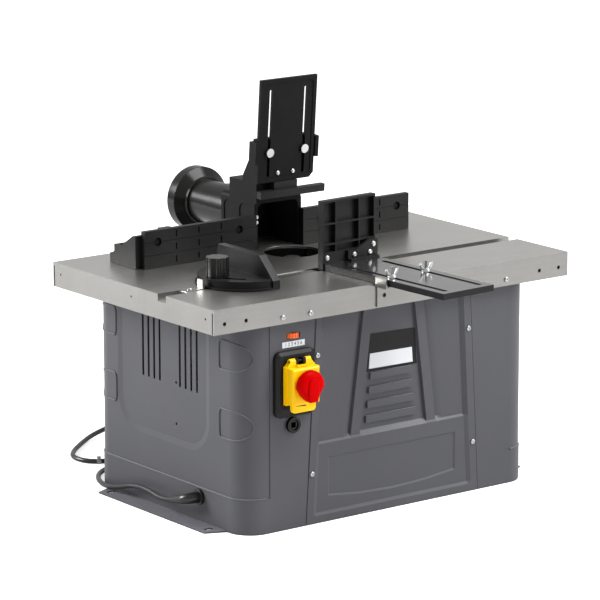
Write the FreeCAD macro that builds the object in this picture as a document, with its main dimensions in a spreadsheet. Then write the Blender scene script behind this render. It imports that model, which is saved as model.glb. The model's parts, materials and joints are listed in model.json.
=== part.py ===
import FreeCAD, Part
import math
import os
from types import SimpleNamespace

import Sketcher

# A benchtop spindle moulder: sheet cabinet, folded steel table, fence with dust hood and port,
# overhead guard, side presser, mitre gauge, hinged safety switch, lifting router motor and mains lead.
# Frame: origin on the floor at the middle of the four foot slots, X to the right, Y to the back, Z up.

# Sizes in millimetres and degrees, one group for each piece.
SIZES = {
    # Shared clearances and cuts
    "overrun": 5,
    "slide_gap": 0.3,
    "run_gap": 0.05,
    "seam_gap": 0.6,
    # Floor plate with its two screw-down flanges
    "base_sheet": 2,
    "base_inset": 0.5,
    "flange_reach": 29,
    "flange_root": 138,
    "flange_tip": 126,
    "foot_slot_x": 263,
    "foot_slot_y": 116,
    "foot_slot_length": 14,
    "foot_slot_width": 7,
    # Cabinet shells
    "cabinet_width": 497,
    "cabinet_depth": 357,
    "corner_radius": 36,
    "shell_sheet": 1.5,
    "shell_relief": 1,
    "plinth_height": 48,
    "relief_border_x": 206,
    "side_field_front": 98,
    "side_field_rear": 118,
    "side_field_low": 96,
    "side_field_round": 48,
    "side_field_depth": 1.6,
    "side_field_slope": 80,
    "lap_width": 11,
    "lap_bite": 6,
    "vent_width": 4.5,
    "vent_bottom": 180,
    "vent_top": 276,
    "vent_pitch": 13.2,
    "vent_rear_y": 59,
    "vent_front_y": -28,
    "side_hole": 4,
    "side_hole_y": -19,
    "side_hole_low": 125,
    "side_hole_high": 183,
    # Front and rear panels, pressed sheet
    "panel_sheet": 1.5,
    "panel_top_width": 264,
    "panel_bottom_width": 300,
    "panel_shift": 4,
    "panel_frame": 12,
    "field_step": 6,
    "rib_shift": 3.3,
    "rib_foot_top": 31.7,
    "rib_foot_low": 58,
    "rib_width": 15.5,
    "rib_ramp": 14,
    "rib_wall": 1,
    "upper_field_low": 116,
    "ledge_height": 6.5,
    "band_ledge": 3,
    "lower_field_low": 15,
    "lower_ledge": 4,
    "band_depth": 5,
    "rib_depth": 4.5,
    "plateau_depth": 9,
    "lower_depth": 2.5,
    "louvre_height": 10,
    "louvre_corner": 1.5,
    "louvre_pitch": 19.9,
    "louvre_first": 130,
    "louvre_half_low": 43.4,
    "louvre_taper": 2.5,
    "louvre_proud": 3.5,
    "emboss_half": 111,
    "emboss_low": 35,
    "emboss_high": 90,
    "emboss_bow": 8,
    "emboss_slope": 60,
    "emboss_depth": 1.5,
    "rear_field_depth": 3,
    "rear_field_low": 34,
    "rear_field_high": 280,
    # Screws with pan heads
    "screw_head": 3.6,
    "screw_head_height": 2.4,
    "screw_shank": 1.9,
    "screw_length": 6,
    "panel_screw_inset": 6,
    "panel_screw_low": 71,
    "panel_screw_high": 234,
    "skirt_screw_outer": 193,
    "skirt_screw_inner": 147,
    "skirt_screw_drop": 25,
    # Table
    "table_length": 610,
    "table_depth": 380,
    "table_height": 322,
    "table_sheet": 2.5,
    "skirt_height": 34,
    "corner_slit": 2,
    "groove_y": -72,
    "groove_width": 19,
    "groove_depth": 10,
    "skirt_hole": 5.5,
    "skirt_hole_inset": 17,
    "skirt_hole_pitch": 35,
    "skirt_hole_drop": 20.5,
    "end_hole": 3,
    "end_hole_inset": 19,
    "end_hole_drop": 15,
    "rail_leg": 16,
    "rail_sheet": 2,
    "rail_half_length": 205,
    # Ring in the cutter opening
    "spindle_y": 46,
    "insert_radius": 47,
    "insert_bore": 40,
    "insert_ledge": 4,
    "insert_ledge_sheet": 2,
    # Safety switch
    "switch_x": -168,
    "switch_z": 203,
    "switch_width": 66,
    "switch_height": 90,
    "switch_corner": 9,
    "switch_plate": 10,
    "switch_slope": 4,
    "switch_body_width": 48,
    "switch_body_height": 64,
    "switch_body_depth": 34,
    "button_width": 12,
    "button_height": 24,
    "button_depth": 6.6,
    "button_proud": 4,
    "button_gap": 0.4,
    "start_button_x": -12.8,
    "well_depth": 6,
    "cover_half_width": 24,
    "cover_top": 27,
    "cover_bottom": -25.5,
    "cover_back": 11,
    "cover_rim": 6,
    "cover_step": 1.4,
    "cover_front": 31,
    "cover_wall": 2.5,
    "cover_slope": 2.2,
    "lip_drop": 10,
    "lip_half": 19.5,
    "lip_front": 25,
    "lip_sheet": 5,
    "lip_corner": 5,
    "hinge_height": 33,
    "hinge_depth": 14.5,
    "hinge_pin": 1.5,
    "hinge_eye": 3.8,
    "ear_inner": 4,
    "ear_width": 4,
    "lug_width": 9,
    "lug_foot": 14,
    "stem_radius": 7.5,
    "stem_inner": 19.5,
    "mushroom_radius": 21.8,
    "mushroom_back": 35,
    "mushroom_rim": 42,
    "mushroom_front": 47,
    "mushroom_top_share": 0.72,
    "grip_half": 4,
    "grip_width": 17,
    "grip_proud": 1.4,
    "mushroom_lift": 2,
    "dome_share": 0.6,
    # Speed dial
    "dial_x": -167,
    "dial_z": 267,
    "dial_radius": 11,
    "dial_width": 6.5,
    "dial_setback": 6.5,
    "dial_pin": 2,
    "dial_slot_width": 22,
    "dial_slot_height": 8,
    "dial_knurl": 1.2,
    "dial_case_half": 14,
    "dial_case_depth": 20,
    "dial_case_wall": 2,
    # Height adjustment: socket shaft, bevel pair and lead screw
    "crank_x": -169,
    "crank_z": 145,
    "crank_radius": 7,
    "crank_end_y": 34,
    "crank_setback": 2,
    "socket_half": 3.6,
    "socket_depth": 14,
    "bush_flange": 11,
    "bush_flange_height": 5,
    "bush_radius": 9.5,
    "bush_length": 16,
    "bevel_radius": 20,
    "bevel_face": 9,
    "bevel_hub": 6,
    "bevel_gap": 0.4,
    "bevel_tooth": 2.2,
    "screw_y": 46,
    "lead_radius": 6,
    "lead_bottom": 60,
    "lead_top": 296,
    "collar_radius": 10,
    "collar_height": 6,
    "post_half": 14,
    "post_seat": 66,
    "post_arm_y": -2,
    "post_arm_width": 14,
    "post_arm_high": 20,
    # Lift: columns, carriage and motor
    "column_x": -95,
    "column_spread": 56,
    "column_radius": 7,
    "carriage_low": 200,
    "carriage_height": 30,
    "carriage_ring": 10,
    "bearing_sleeve": 13,
    "sleeve_extra": 10,
    "arm_half": 16,
    "nut_radius": 14,
    "motor_radius": 46,
    "motor_wall": 3,
    "motor_low": 138,
    "motor_high": 262,
    "nose_radius": 24,
    "nose_high": 284,
    "motor_slot_width": 5,
    "motor_slot_height": 26,
    "bearing_outer": 16,
    "bearing_width": 10,
    "bearing_lip": 3,
    "shaft_radius": 7.5,
    "shaft_low": 141,
    "shaft_high": 298,
    "core_radius": 30,
    "core_low": 168,
    "core_high": 226,
    "commutator_radius": 16,
    "commutator_height": 14,
    "fan_radius": 40,
    "fan_hub": 12,
    "fan_low": 236,
    "fan_disc": 2,
    "fan_height": 14,
    "fan_blade": 2,
    "collet_radius": 13.5,
    "collet_low": 292,
    "collet_high": 314,
    "collet_flat": 12,
    "collet_bore": 4,
    "collet_bore_depth": 16,
    "collet_chamfer": 2,
    # Fence
    "fence_face_y": 70,
    "board_height": 52.5,
    "board_length": 190,
    "board_depth": 9,
    "board_left_end": -43.5,
    "board_right_end": 38,
    "board_line": 1.2,
    "board_line_depth": 0.7,
    "board_line_share": 0.34,
    "dash_width": 2,
    "dash_depth": 3,
    "dash_first": 53,
    "dash_pitch": 38,
    "dash_height": 9,
    "bore_wide": 6,
    "bore_depth": 5,
    "board_screw_shank": 3,
    "board_nut": 5.5,
    "board_nut_height": 4,
    "board_screw_near": 30,
    "board_screw_far": 22,
    "board_screw_high": 36,
    "board_screw_head": 4.6,
    "foot_left_x": 243,
    "foot_right_x": 229,
    "foot_depth": 62,
    "foot_slab": 14,
    "foot_wall": 6,
    "foot_wall_height": 46,
    "rim_height": 25,
    "rim_wall": 4,
    "rim_span": 40,
    "rim_inset": 7,
    "gusset_width": 5,
    "wall_slot": 3.4,
    "wall_slot_half": 12,
    "knob_x": 160,
    "knob_back": 40,
    "knob_radius": 16,
    "knob_height": 22,
    "knob_neck": 9,
    "knob_neck_height": 4.5,
    "knob_lobe": 4.5,
    "stud_radius": 4,
    "stud_below": 9,
    "fence_forward": 40,
    "fence_backward": 6,
    # Dust hood and port
    "hood_half": 41,
    "hood_depth": 79,
    "hood_height": 75,
    "hood_wall": 6,
    "hood_back_wall": 7,
    "hood_roof": 9,
    "hood_round": 8,
    "seat_height": 22,
    "seat_half": 34,
    "seat_shift": -7,
    "seat_overhang": 5,
    "seat_depth": 64,
    "arch_relief": 1.2,
    "arch_margin": 6,
    "arch_gap": 7,
    "arch_top": 64,
    "port_height": 40,
    "port_radius": 31,
    "port_wall": 3,
    "port_collar": 32.6,
    "port_collar_length": 45,
    "port_groove": 1.6,
    "port_groove_depth": 1.2,
    "port_tube_length": 108,
    "port_bead": 34,
    "port_bead_length": 4,
    "port_rim_radius": 47,
    "port_rim_length": 17,
    "port_flare": 10,
    # Overhead guard
    "guard_y": 67,
    "guard_lean": 4.4,
    "guard_width": 97,
    "guard_height": 147,
    "guard_low": 2,
    "guard_sheet": 5,
    "guard_recess": 1,
    "guard_border": 6,
    "guard_slot_half": 30,
    "guard_slot_width": 4.8,
    "guard_slot_low": 12,
    "guard_slot_high": 132,
    "guard_cut": 7,
    "guard_screw_z": 45,
    "guard_screw_head": 6.4,
    "guard_screw_height": 3,
    "guard_screw_shank": 2,
    "bracket_thickness": 9,
    "bracket_web": 4,
    "bracket_high": 64,
    "bracket_channel": 24,
    "tab_width": 6,
    "tab_low": 31,
    "tab_high": 61,
    "tab_forward": 7,
    "bracket_reach": 40,
    "bracket_gusset": 5,
    "bracket_foot": 4,
    "shoe_left": -47,
    "shoe_right": 66,
    "shoe_low": -19,
    "shoe_high": -9,
    "shoe_depth": 10,
    "shoe_link": 4,
    "shoe_forward": 13,
    "lug_half": 20,
    "lug_sheet": 3,
    "lug_high": 24,
    "lug_screw_half": 13,
    "lug_screw_z": 14,
    "lug_screw_head": 3.4,
    # Side presser
    "presser_x": 9,
    "presser_y": -204,
    "presser_turn": 2.7,
    "presser_width": 90,
    "presser_front": 120,
    "presser_back": 124,
    "presser_thickness": 9,
    "presser_skin": 4,
    "presser_rim": 4,
    "presser_slot_half": 30.5,
    "presser_slot_width": 7,
    "presser_slot_front": 106,
    "presser_slot_back": 86,
    "upright_width": 95,
    "upright_height": 96,
    "upright_depth": 10,
    "upright_skin": 2.5,
    "upright_rib": 2.2,
    "upright_rim": 3,
    "upright_base": 24,
    "clip_left": -6,
    "clip_thickness": 5,
    "clip_low": 14,
    "clip_high": 25,
    "clip_step": 14,
    "clip_foot": 12,
    "clip_sheet": 3,
    "presser_screw_head": 4,
    "presser_screw_edge": 8,
    "presser_screw_inner": 5,
    "presser_screw_outer": 33,
    "presser_screw_low": 16.5,
    "presser_screw_high": 27,
    "bracket_left_x": -36,
    "bracket_right_x": 54,
    "bracket_sheet": 2.5,
    "bracket_drop": 32,
    "bracket_shelf": 26,
    "bracket_shelf_drop": 1,
    "bracket_ear": 10,
    "bracket_hole": 3,
    "bracket_hole_drop": 17,
    "bracket_hole_inset": 12,
    "wing_stud": 3,
    "wing_stud_high": 24,
    "wing_base": 7.5,
    "wing_neck": 5,
    "wing_base_height": 7,
    "wing_span": 13,
    "wing_root": 4,
    "wing_high": 17,
    "wing_low": 3,
    "wing_sheet": 2.4,
    # Mitre gauge
    "gauge_x": -170,
    "bar_left": -100,
    "bar_right": 120,
    "bar_height": 8,
    "bar_drop": 1,
    "gauge_radius": 66,
    "gauge_flange": 3,
    "gauge_inset": 3,
    "gauge_deck": 13,
    "gauge_wall": 12,
    "gauge_wall_high": 42,
    "gauge_top_front": 34,
    "gauge_top_back": 60,
    "gauge_end_high": 12,
    "gauge_pivot": 4,
    "arc_radius": 44,
    "arc_width": 7,
    "gauge_swing": 50,
    "arc_stud": 3,
    "gauge_knob_radius": 16,
    "gauge_knob_height": 27,
    "gauge_knob_lobe": 3.4,
    "pointer_left": -98,
    "pointer_right": -71,
    "pointer_width": 12,
    "pointer_sheet": 2,
    "pointer_high": 13,
    "pointer_screw": 3.6,
    # Mains lead
    "lead_y": -76,
    "lead_z": 36,
    "gland_radius": 11,
    "gland_height": 4,
    "gland_hole": 8,
    "relief_start": 8.5,
    "relief_end": 5,
    "relief_straight": 4,
    "relief_bend": 12,
    "relief_drop": 14,
    "relief_run": 24,
    "cord_radius": 3.5,
    "coil_x": 6,
    "coil_y": 243,
    "coil_lift": 1.2,
    "coil_outer": 44,
    "coil_step": 4,
    "coil_climb": 8,
    "tie_sheet": 0.8,
    "tie_width": 6,
    "tie_gap": 0.35,
    "plug_radius": 18.5,
    "plug_x": -14,
    "plug_y": 394,
    "plug_lift": 0.2,
    "plug_neck": 6,
    "plug_length": 34,
    "plug_waist": 12,
    "plug_waist_length": 16,
    "plug_pin": 2.4,
    "plug_pin_length": 19,
    "plug_pin_spread": 9.5,
}

# Hand-chosen points of the lead between its strain relief and the coil, and between the coil and the plug
LEAD_TO_COIL = [
    (-262.5, 28.0, 25.5),
    (-261.0, 66.0, 22.5),
    (-262.5, 100.0, 12.0),
    (-260.0, 134.0, 5.9),
    (-248.0, 170.0, 4.0),
    (-229.0, 199.0, 3.7),
    (-203.0, 217.0, 3.7),
    (-168.0, 224.0, 3.7),
    (-130.0, 222.0, 3.8),
    (-92.0, 214.0, 4.0),
    (-56.0, 203.0, 4.4),
]
COIL_TO_PLUG = [
    (-66.0, 281.0, 9.5),
    (-104.0, 264.0, 5.0),
    (-144.0, 250.0, 3.7),
    (-176.0, 247.0, 3.7),
    (-204.0, 263.0, 3.7),
    (-208.0, 296.0, 3.7),
    (-189.0, 323.0, 3.7),
    (-158.0, 350.0, 3.7),
    (-121.0, 378.0, 4.5),
    (-80.0, 391.0, 8.5),
]
LEAD_FACETS = 8
# Places of the presser upright's inner ribs across its half width and up its open part
UPRIGHT_COLUMN_SHARES = (-0.5, 0.38)
UPRIGHT_ROW_SHARES = (0.16, 0.57)
# Drop of the pressed field's lower edge halfway to its middle
EMBOSS_BOW_SHARE = 0.75
TANGENT_SHARE = 0.45

doc = FreeCAD.newDocument("spindle_moulder")
sheet = doc.addObject("Spreadsheet::Sheet", "dims")
for row, (alias, number) in enumerate(SIZES.items(), 1):
    sheet.set(f"A{row}", alias)
    sheet.set(f"B{row}", str(number))
    sheet.setAlias(f"B{row}", alias)
doc.recompute()


class Size:
    # A number that keeps the formula it came from, so that a property can be bound to the sheet.
    def __init__(self, text, value):
        self.text = text
        self.value = float(value)

    def __add__(self, other):
        other = as_size(other)
        return Size(f"({self.text} + {other.text})", self.value + other.value)

    def __radd__(self, other):
        return as_size(other) + self

    def __sub__(self, other):
        other = as_size(other)
        return Size(f"({self.text} - {other.text})", self.value - other.value)

    def __rsub__(self, other):
        return as_size(other) - self

    def __mul__(self, other):
        other = as_size(other)
        return Size(f"({self.text} * {other.text})", self.value * other.value)

    def __rmul__(self, other):
        return as_size(other) * self

    def __truediv__(self, other):
        other = as_size(other)
        return Size(f"({self.text} / {other.text})", self.value / other.value)

    def __neg__(self):
        return Size(f"(-{self.text})", -self.value)


def as_size(value):
    return value if isinstance(value, Size) else Size(f"({value})", value)


def number(value):
    return value.value if isinstance(value, Size) else float(value)


def sine(angle):
    return Size(f"sin({angle.text})", math.sin(math.radians(angle.value)))


def cosine(angle):
    return Size(f"cos({angle.text})", math.cos(math.radians(angle.value)))


def tangent(angle):
    return Size(f"tan({angle.text})", math.tan(math.radians(angle.value)))


d = SimpleNamespace(**{alias: Size("dims." + alias, value) for alias, value in SIZES.items()})

# Places that several pieces share
table_under = d.table_height - d.table_sheet
skirt_bottom = d.table_height - d.skirt_height
half_x = d.cabinet_width / 2
half_y = d.cabinet_depth / 2
wall = d.shell_sheet + d.shell_relief
hood_front = d.fence_face_y + d.board_depth
seat_top = d.table_height + d.hood_height + d.seat_height
NORMAL = {"XY_Plane": 1, "XZ_Plane": -1, "YZ_Plane": 1}
TURN_TO = {"X": ((0, 1, 0), 90), "Y": ((1, 0, 0), -90), "Z": ((0, 0, 1), 0)}
plane_of = {}
nodes = []
cuts = []


def bind(thing, name, value):
    if isinstance(value, Size):
        thing.setExpression(name, value.text)


def place(thing, at=(0, 0, 0), turn=None):
    # turn is an axis with an angle, such as ((0, 0, 1), angle)
    if turn:
        axis, angle = turn
        rotation = FreeCAD.Rotation(FreeCAD.Vector(*axis), number(angle))
        thing.Placement = FreeCAD.Placement(FreeCAD.Vector(), rotation)
        bind(thing, "Placement.Rotation.Angle", angle)
    for axis, value in zip("xyz", at):
        bind(thing, "Placement.Base." + axis, value)


def new_body(label, at=(0, 0, 0), turn=None):
    body = doc.addObject("PartDesign::Body", label)
    body.Label = label
    place(body, at, turn)
    nodes.append(body)
    return body


def origin_feature(body, role):
    return next(f for f in body.Origin.OriginFeatures if f.Role == role)


def sketch(body, plane, offset=0):
    drawing = body.newObject("Sketcher::SketchObject", body.Label + "_sketch")
    drawing.AttachmentSupport = (origin_feature(body, plane), "")
    drawing.MapMode = "FlatFace"
    bind(drawing, "AttachmentOffset.Base.z", as_size(offset) * NORMAL[plane])
    plane_of[drawing.Name] = plane
    return drawing


def pin_points(drawing, places):
    # places holds (geometry, point, x, y); an x or y of None stays free
    rules = []
    sizes = []
    for geometry, point, x, y in places:
        for kind, value in (("DistanceX", x), ("DistanceY", y)):
            if value is not None:
                rules.append(Sketcher.Constraint(kind, -1, 1, geometry, point, number(value)))
                sizes.append(value)
    for index, value in zip(drawing.addConstraint(rules), sizes):
        bind(drawing, f"Constraints[{index}]", value)


def set_radius(drawing, geometry, radius):
    index = drawing.addConstraint(Sketcher.Constraint("Radius", geometry, number(radius)))
    bind(drawing, f"Constraints[{index}]", radius)


def line(drawing, start, end):
    ends = [FreeCAD.Vector(number(x), number(y), 0) for x, y in (start, end)]
    return drawing.addGeometry(Part.LineSegment(*ends), False)


def arc(drawing, centre, radius, start, end):
    ring = Part.Circle(FreeCAD.Vector(*centre, 0), FreeCAD.Vector(0, 0, 1), radius)
    first = math.atan2(start[1] - centre[1], start[0] - centre[0])
    last = math.atan2(end[1] - centre[1], end[0] - centre[0])
    if last <= first:
        last += 2 * math.pi
    return drawing.addGeometry(Part.ArcOfCircle(ring, first, last), False)


def heading(start, end):
    # Direction of a run along one of the axes, as whole numbers
    run = [number(b) - number(a) for a, b in zip(start, end)]
    return [0 if abs(r) < 1e-6 else int(math.copysign(1, r)) for r in run]


def outline(drawing, corners):
    # A closed outline. A corner with a third value is rounded by it where two runs meet at a right angle.
    spans = []
    for i, corner in enumerate(corners):
        x, y = corner[:2]
        if len(corner) < 3:
            spans.append(((x, y), (x, y), None, 0))
            continue
        radius = corner[2]
        before = heading(corners[i - 1][:2], corner[:2])
        after = heading(corner[:2], corners[(i + 1) % len(corners)][:2])
        enter = (x - radius * before[0], y - radius * before[1])
        leave = (x + radius * after[0], y + radius * after[1])
        turn = before[0] * after[1] - before[1] * after[0]
        spans.append((enter, leave, radius, turn))
    pins = []
    joins = []
    lines = []
    for i, (enter, leave, radius, turn) in enumerate(spans):
        following = spans[(i + 1) % len(spans)]
        run = line(drawing, leave, following[0])
        lines.append(run)
        pins.append((run, 1, *leave))
        if following[2] is not None:
            pins.append((run, 2, *following[0]))
    for i, (enter, leave, radius, turn) in enumerate(spans):
        if radius is None:
            joins.append(Sketcher.Constraint("Coincident", lines[i - 1], 2, lines[i], 1))
            continue
        first = [number(v) for v in (enter if turn > 0 else leave)]
        last = [number(v) for v in (leave if turn > 0 else enter)]
        middle = [(a + b) / 2 for a, b in zip(first, last)]
        half = [(b - a) / 2 for a, b in zip(first, last)]
        bend = arc(drawing, (middle[0] - half[1], middle[1] + half[0]), number(radius), first, last)
        ends = (1, 2) if turn > 0 else (2, 1)
        joins.append(Sketcher.Constraint("Coincident", lines[i - 1], 2, bend, ends[0]))
        joins.append(Sketcher.Constraint("Coincident", lines[i], 1, bend, ends[1]))
        spans[i] = (enter, leave, radius, bend)
    drawing.addConstraint(joins)
    pin_points(drawing, pins)
    for enter, leave, radius, bend in spans:
        if radius is not None:
            set_radius(drawing, bend, radius)


def rectangle(drawing, low, high, radius=None):
    corners = [low, (high[0], low[1]), high, (low[0], high[1])]
    outline(drawing, [c if radius is None else (*c, radius) for c in corners])


def circle(drawing, x, y, radius):
    ring = Part.Circle(FreeCAD.Vector(number(x), number(y), 0), FreeCAD.Vector(0, 0, 1), number(radius))
    index = drawing.addGeometry(ring, False)
    pin_points(drawing, [(index, 3, x, y)])
    set_radius(drawing, index, radius)


def slot(drawing, start, end, width):
    # A slot with round ends along either axis, from one end's centre to the other's
    radius = width / 2
    upright = heading(start, end)[0] == 0
    low, high = sorted((start, end), key=lambda p: (number(p[0]), number(p[1])))
    side = (radius, 0) if upright else (0, -radius)
    corners = []
    for centre, sign in ((low, -1), (low, 1), (high, 1), (high, -1)):
        corners.append((centre[0] + sign * side[0], centre[1] + sign * side[1]))
    first, second, third, fourth = [[number(v) for v in c] for c in corners]
    ends = []
    for centre, start_at, end_at in ((low, first, second), (high, third, fourth)):
        middle = [number(v) for v in centre]
        index = arc(drawing, middle, number(radius), start_at, end_at)
        pin_points(drawing, [(index, 3, *centre)])
        level = (None, centre[1]) if upright else (centre[0], None)
        pin_points(drawing, [(index, 1, *level), (index, 2, *level)])
        set_radius(drawing, index, radius)
        ends.append(index)
    sides = [line(drawing, second, third), line(drawing, fourth, first)]
    drawing.addConstraint([
        Sketcher.Constraint("Coincident", ends[0], 2, sides[0], 1),
        Sketcher.Constraint("Coincident", sides[0], 2, ends[1], 1),
        Sketcher.Constraint("Coincident", ends[1], 2, sides[1], 1),
        Sketcher.Constraint("Coincident", sides[1], 2, ends[0], 1),
    ])


def pad(body, drawing, length, toward):
    feature = body.newObject("PartDesign::Pad", body.Label + "_pad")
    feature.Profile = drawing
    bind(feature, "Length", length)
    feature.Reversed = toward != NORMAL[plane_of[drawing.Name]]
    return feature


def pocket(body, drawing, length, toward):
    feature = body.newObject("PartDesign::Pocket", body.Label + "_pocket")
    feature.Profile = drawing
    bind(feature, "Length", length)
    feature.Reversed = toward == NORMAL[plane_of[drawing.Name]]
    cuts.append(feature)
    return feature


def revolve(body, drawing, axis="V_Axis", cut=False):
    kind = "PartDesign::Groove" if cut else "PartDesign::Revolution"
    feature = body.newObject(kind, body.Label + "_turn")
    feature.Profile = drawing
    feature.ReferenceAxis = (drawing, [axis])
    feature.Angle = 360
    if cut:
        cuts.append(feature)
    return feature


def block(body, low, high, cut=False):
    kind = "PartDesign::SubtractiveBox" if cut else "PartDesign::AdditiveBox"
    feature = body.newObject(kind, body.Label + "_block")
    spans = [sorted(ends, key=number) for ends in zip(low, high)]
    for name, (start, end) in zip(("Length", "Width", "Height"), spans):
        bind(feature, name, as_size(end) - start)
    place(feature, [start for start, end in spans])
    if cut:
        cuts.append(feature)
    return feature


def rod(body, at, radius, length, axis="Z", cut=False):
    kind = "PartDesign::SubtractiveCylinder" if cut else "PartDesign::AdditiveCylinder"
    feature = body.newObject(kind, body.Label + "_rod")
    bind(feature, "Radius", radius)
    bind(feature, "Height", length)
    place(feature, at, TURN_TO[axis])
    if cut:
        cuts.append(feature)
    return feature


def cone(body, at, start_radius, end_radius, length, axis="Z"):
    feature = body.newObject("PartDesign::AdditiveCone", body.Label + "_cone")
    bind(feature, "Radius1", start_radius)
    bind(feature, "Radius2", end_radius)
    bind(feature, "Height", length)
    place(feature, at, TURN_TO[axis])
    return feature


def around(body, feature, count):
    pattern = body.newObject("PartDesign::PolarPattern", body.Label + "_around")
    pattern.Originals = [feature]
    pattern.Axis = (origin_feature(body, "Z_Axis"), [""])
    pattern.Angle = 360
    pattern.Occurrences = count
    body.Tip = pattern
    return pattern


def soften(body, size, wanted, kind="Fillet"):
    # Rounds or bevels the edges of the body so far that wanted() picks
    doc.recompute()
    base = body.Tip
    edges = [f"Edge{i}" for i, edge in enumerate(base.Shape.Edges, 1) if wanted(edge)]
    feature = body.newObject("PartDesign::" + kind, body.Label + "_edge")
    feature.Base = (base, edges)
    bind(feature, "Radius" if kind == "Fillet" else "Size", size)
    return feature


def pan_screw(body, at, axis, head=d.screw_head, toward=1):
    # Head outside the seat, shank into it along the axis; toward says which way the shank points
    seat = dict(zip("XYZ", at))
    head_low = d.screw_head_height / 2
    shank_start = dict(seat)
    rim_start = dict(seat)
    dome_start = dict(seat)
    if toward < 0:
        shank_start[axis] = seat[axis] - d.screw_length
        rim_start[axis] = seat[axis]
        dome_start[axis] = seat[axis] + head_low
        dome = (head, head * d.dome_share)
    else:
        rim_start[axis] = seat[axis] - head_low
        dome_start[axis] = seat[axis] - d.screw_head_height
        dome = (head * d.dome_share, head)
    rod(body, list(shank_start.values()), d.screw_shank, d.screw_length, axis)
    rod(body, list(rim_start.values()), head, head_low, axis)
    cone(body, list(dome_start.values()), *dome, head_low, axis)


def seam_half(z):
    # Half width of the front and rear panels at a height
    drop = (table_under - z) / (table_under - d.base_sheet)
    return d.panel_top_width / 2 + (d.panel_bottom_width - d.panel_top_width) / 2 * drop


def panel_screw_places(shift):
    places = []
    for z in (d.panel_screw_low, d.panel_screw_high):
        for side in (-1, 1):
            places.append((shift + side * (seam_half(z) - d.panel_screw_inset), z))
    return places


def skirt_screw_places():
    z = d.table_height - d.skirt_screw_drop
    return [(side * x, z) for side in (-1, 1) for x in (d.skirt_screw_outer, d.skirt_screw_inner)]


def base_plate():
    body = new_body("base_plate")
    edge_x = half_x - d.base_inset
    edge_y = half_y - d.base_inset
    tip_x = half_x + d.flange_reach
    corner = d.corner_radius - d.base_inset
    plan = sketch(body, "XY_Plane")
    outline(plan, [
        (-edge_x, -edge_y, corner),
        (edge_x, -edge_y, corner),
        (edge_x, -d.flange_root),
        (tip_x, -d.flange_tip),
        (tip_x, d.flange_tip),
        (edge_x, d.flange_root),
        (edge_x, edge_y, corner),
        (-edge_x, edge_y, corner),
        (-edge_x, d.flange_root),
        (-tip_x, d.flange_tip),
        (-tip_x, -d.flange_tip),
        (-edge_x, -d.flange_root),
    ])
    pad(body, plan, d.base_sheet, 1)
    feet = sketch(body, "XY_Plane", d.base_sheet)
    reach = (d.foot_slot_length - d.foot_slot_width) / 2
    for side in (-1, 1):
        for end in (-1, 1):
            x = side * d.foot_slot_x
            y = end * d.foot_slot_y
            slot(feet, (x - reach, y), (x + reach, y), d.foot_slot_width)
    pocket(body, feet, d.base_sheet + d.overrun, -1)


def shell(label, side):
    # One half of the cabinet: plinth, sunk upper wall, slanted seams, laps behind the panels and vents
    body = new_body(label)
    outer_x = side * half_x
    inner_x = side * (half_x - wall)
    inner_y = half_y - wall
    front_end = d.panel_shift + side * (d.panel_top_width / 2 + d.seam_gap)
    rear_end = side * (d.panel_top_width / 2 + d.seam_gap)
    inside = [
        (rear_end, inner_y),
        (inner_x, inner_y, d.corner_radius - wall),
        (inner_x, -inner_y, d.corner_radius - wall),
        (front_end, -inner_y),
    ]
    plinth = sketch(body, "XY_Plane", d.base_sheet)
    outline(plinth, [
        (front_end, -half_y),
        (outer_x, -half_y, d.corner_radius),
        (outer_x, half_y, d.corner_radius),
        (rear_end, half_y),
        *inside,
    ])
    pad(body, plinth, d.plinth_height - d.base_sheet, 1)
    sunk_x = side * (half_x - d.shell_relief)
    sunk_y = half_y - d.shell_relief
    border = side * d.relief_border_x
    upper = sketch(body, "XY_Plane", d.plinth_height)
    outline(upper, [
        (front_end, -half_y),
        (border, -half_y),
        (border, -sunk_y),
        (sunk_x, -sunk_y, d.corner_radius - d.shell_relief),
        (sunk_x, sunk_y, d.corner_radius - d.shell_relief),
        (border, sunk_y),
        (border, half_y),
        (rear_end, half_y),
        *inside,
    ])
    pad(body, upper, table_under - d.plinth_height, 1)
    for facing, shift in ((-1, d.panel_shift), (1, as_size(0))):
        shell_seam(body, side, facing, shift)
    shell_field(body, side)
    shell_vents(body, side)
    # Notch under the table's gauge channel
    notch = d.groove_width / 2 + d.table_sheet + d.slide_gap
    notch_low = d.table_height - d.groove_depth - d.table_sheet - d.slide_gap
    block(body, (outer_x + side * d.overrun, d.groove_y - notch, notch_low),
          (inner_x - side * d.overrun, d.groove_y + notch, table_under + d.overrun), cut=True)
    return body


def shell_seam(body, side, facing, shift):
    # The slanted edge beside a panel and the lap the panel screws onto
    top = shift + side * seam_half(table_under)
    bottom = shift + side * seam_half(d.base_sheet)
    gap = side * d.seam_gap
    edge = sketch(body, "XZ_Plane", facing * (half_y + d.overrun))
    outline(edge, [
        (top - side * d.overrun, d.base_sheet - d.overrun),
        (bottom + gap, d.base_sheet - d.overrun),
        (bottom + gap, d.base_sheet),
        (top + gap, table_under),
        (top + gap, table_under + d.overrun),
        (top - side * d.overrun, table_under + d.overrun),
    ])
    pocket(body, edge, wall + d.overrun + d.overrun, -facing)
    lap = sketch(body, "XZ_Plane", facing * (half_y - d.panel_sheet))
    outline(lap, [
        (bottom - side * d.lap_width, d.base_sheet),
        (bottom + side * d.lap_bite, d.base_sheet),
        (top + side * d.lap_bite, table_under),
        (top - side * d.lap_width, table_under),
    ])
    pad(body, lap, d.shell_sheet, -facing)
    holes = sketch(body, "XZ_Plane", facing * half_y)
    for x, z in panel_screw_places(shift):
        if number(x) * side > 0:
            circle(holes, x, z, d.screw_shank)
    pocket(body, holes, d.overrun + d.overrun, -facing)


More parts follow.
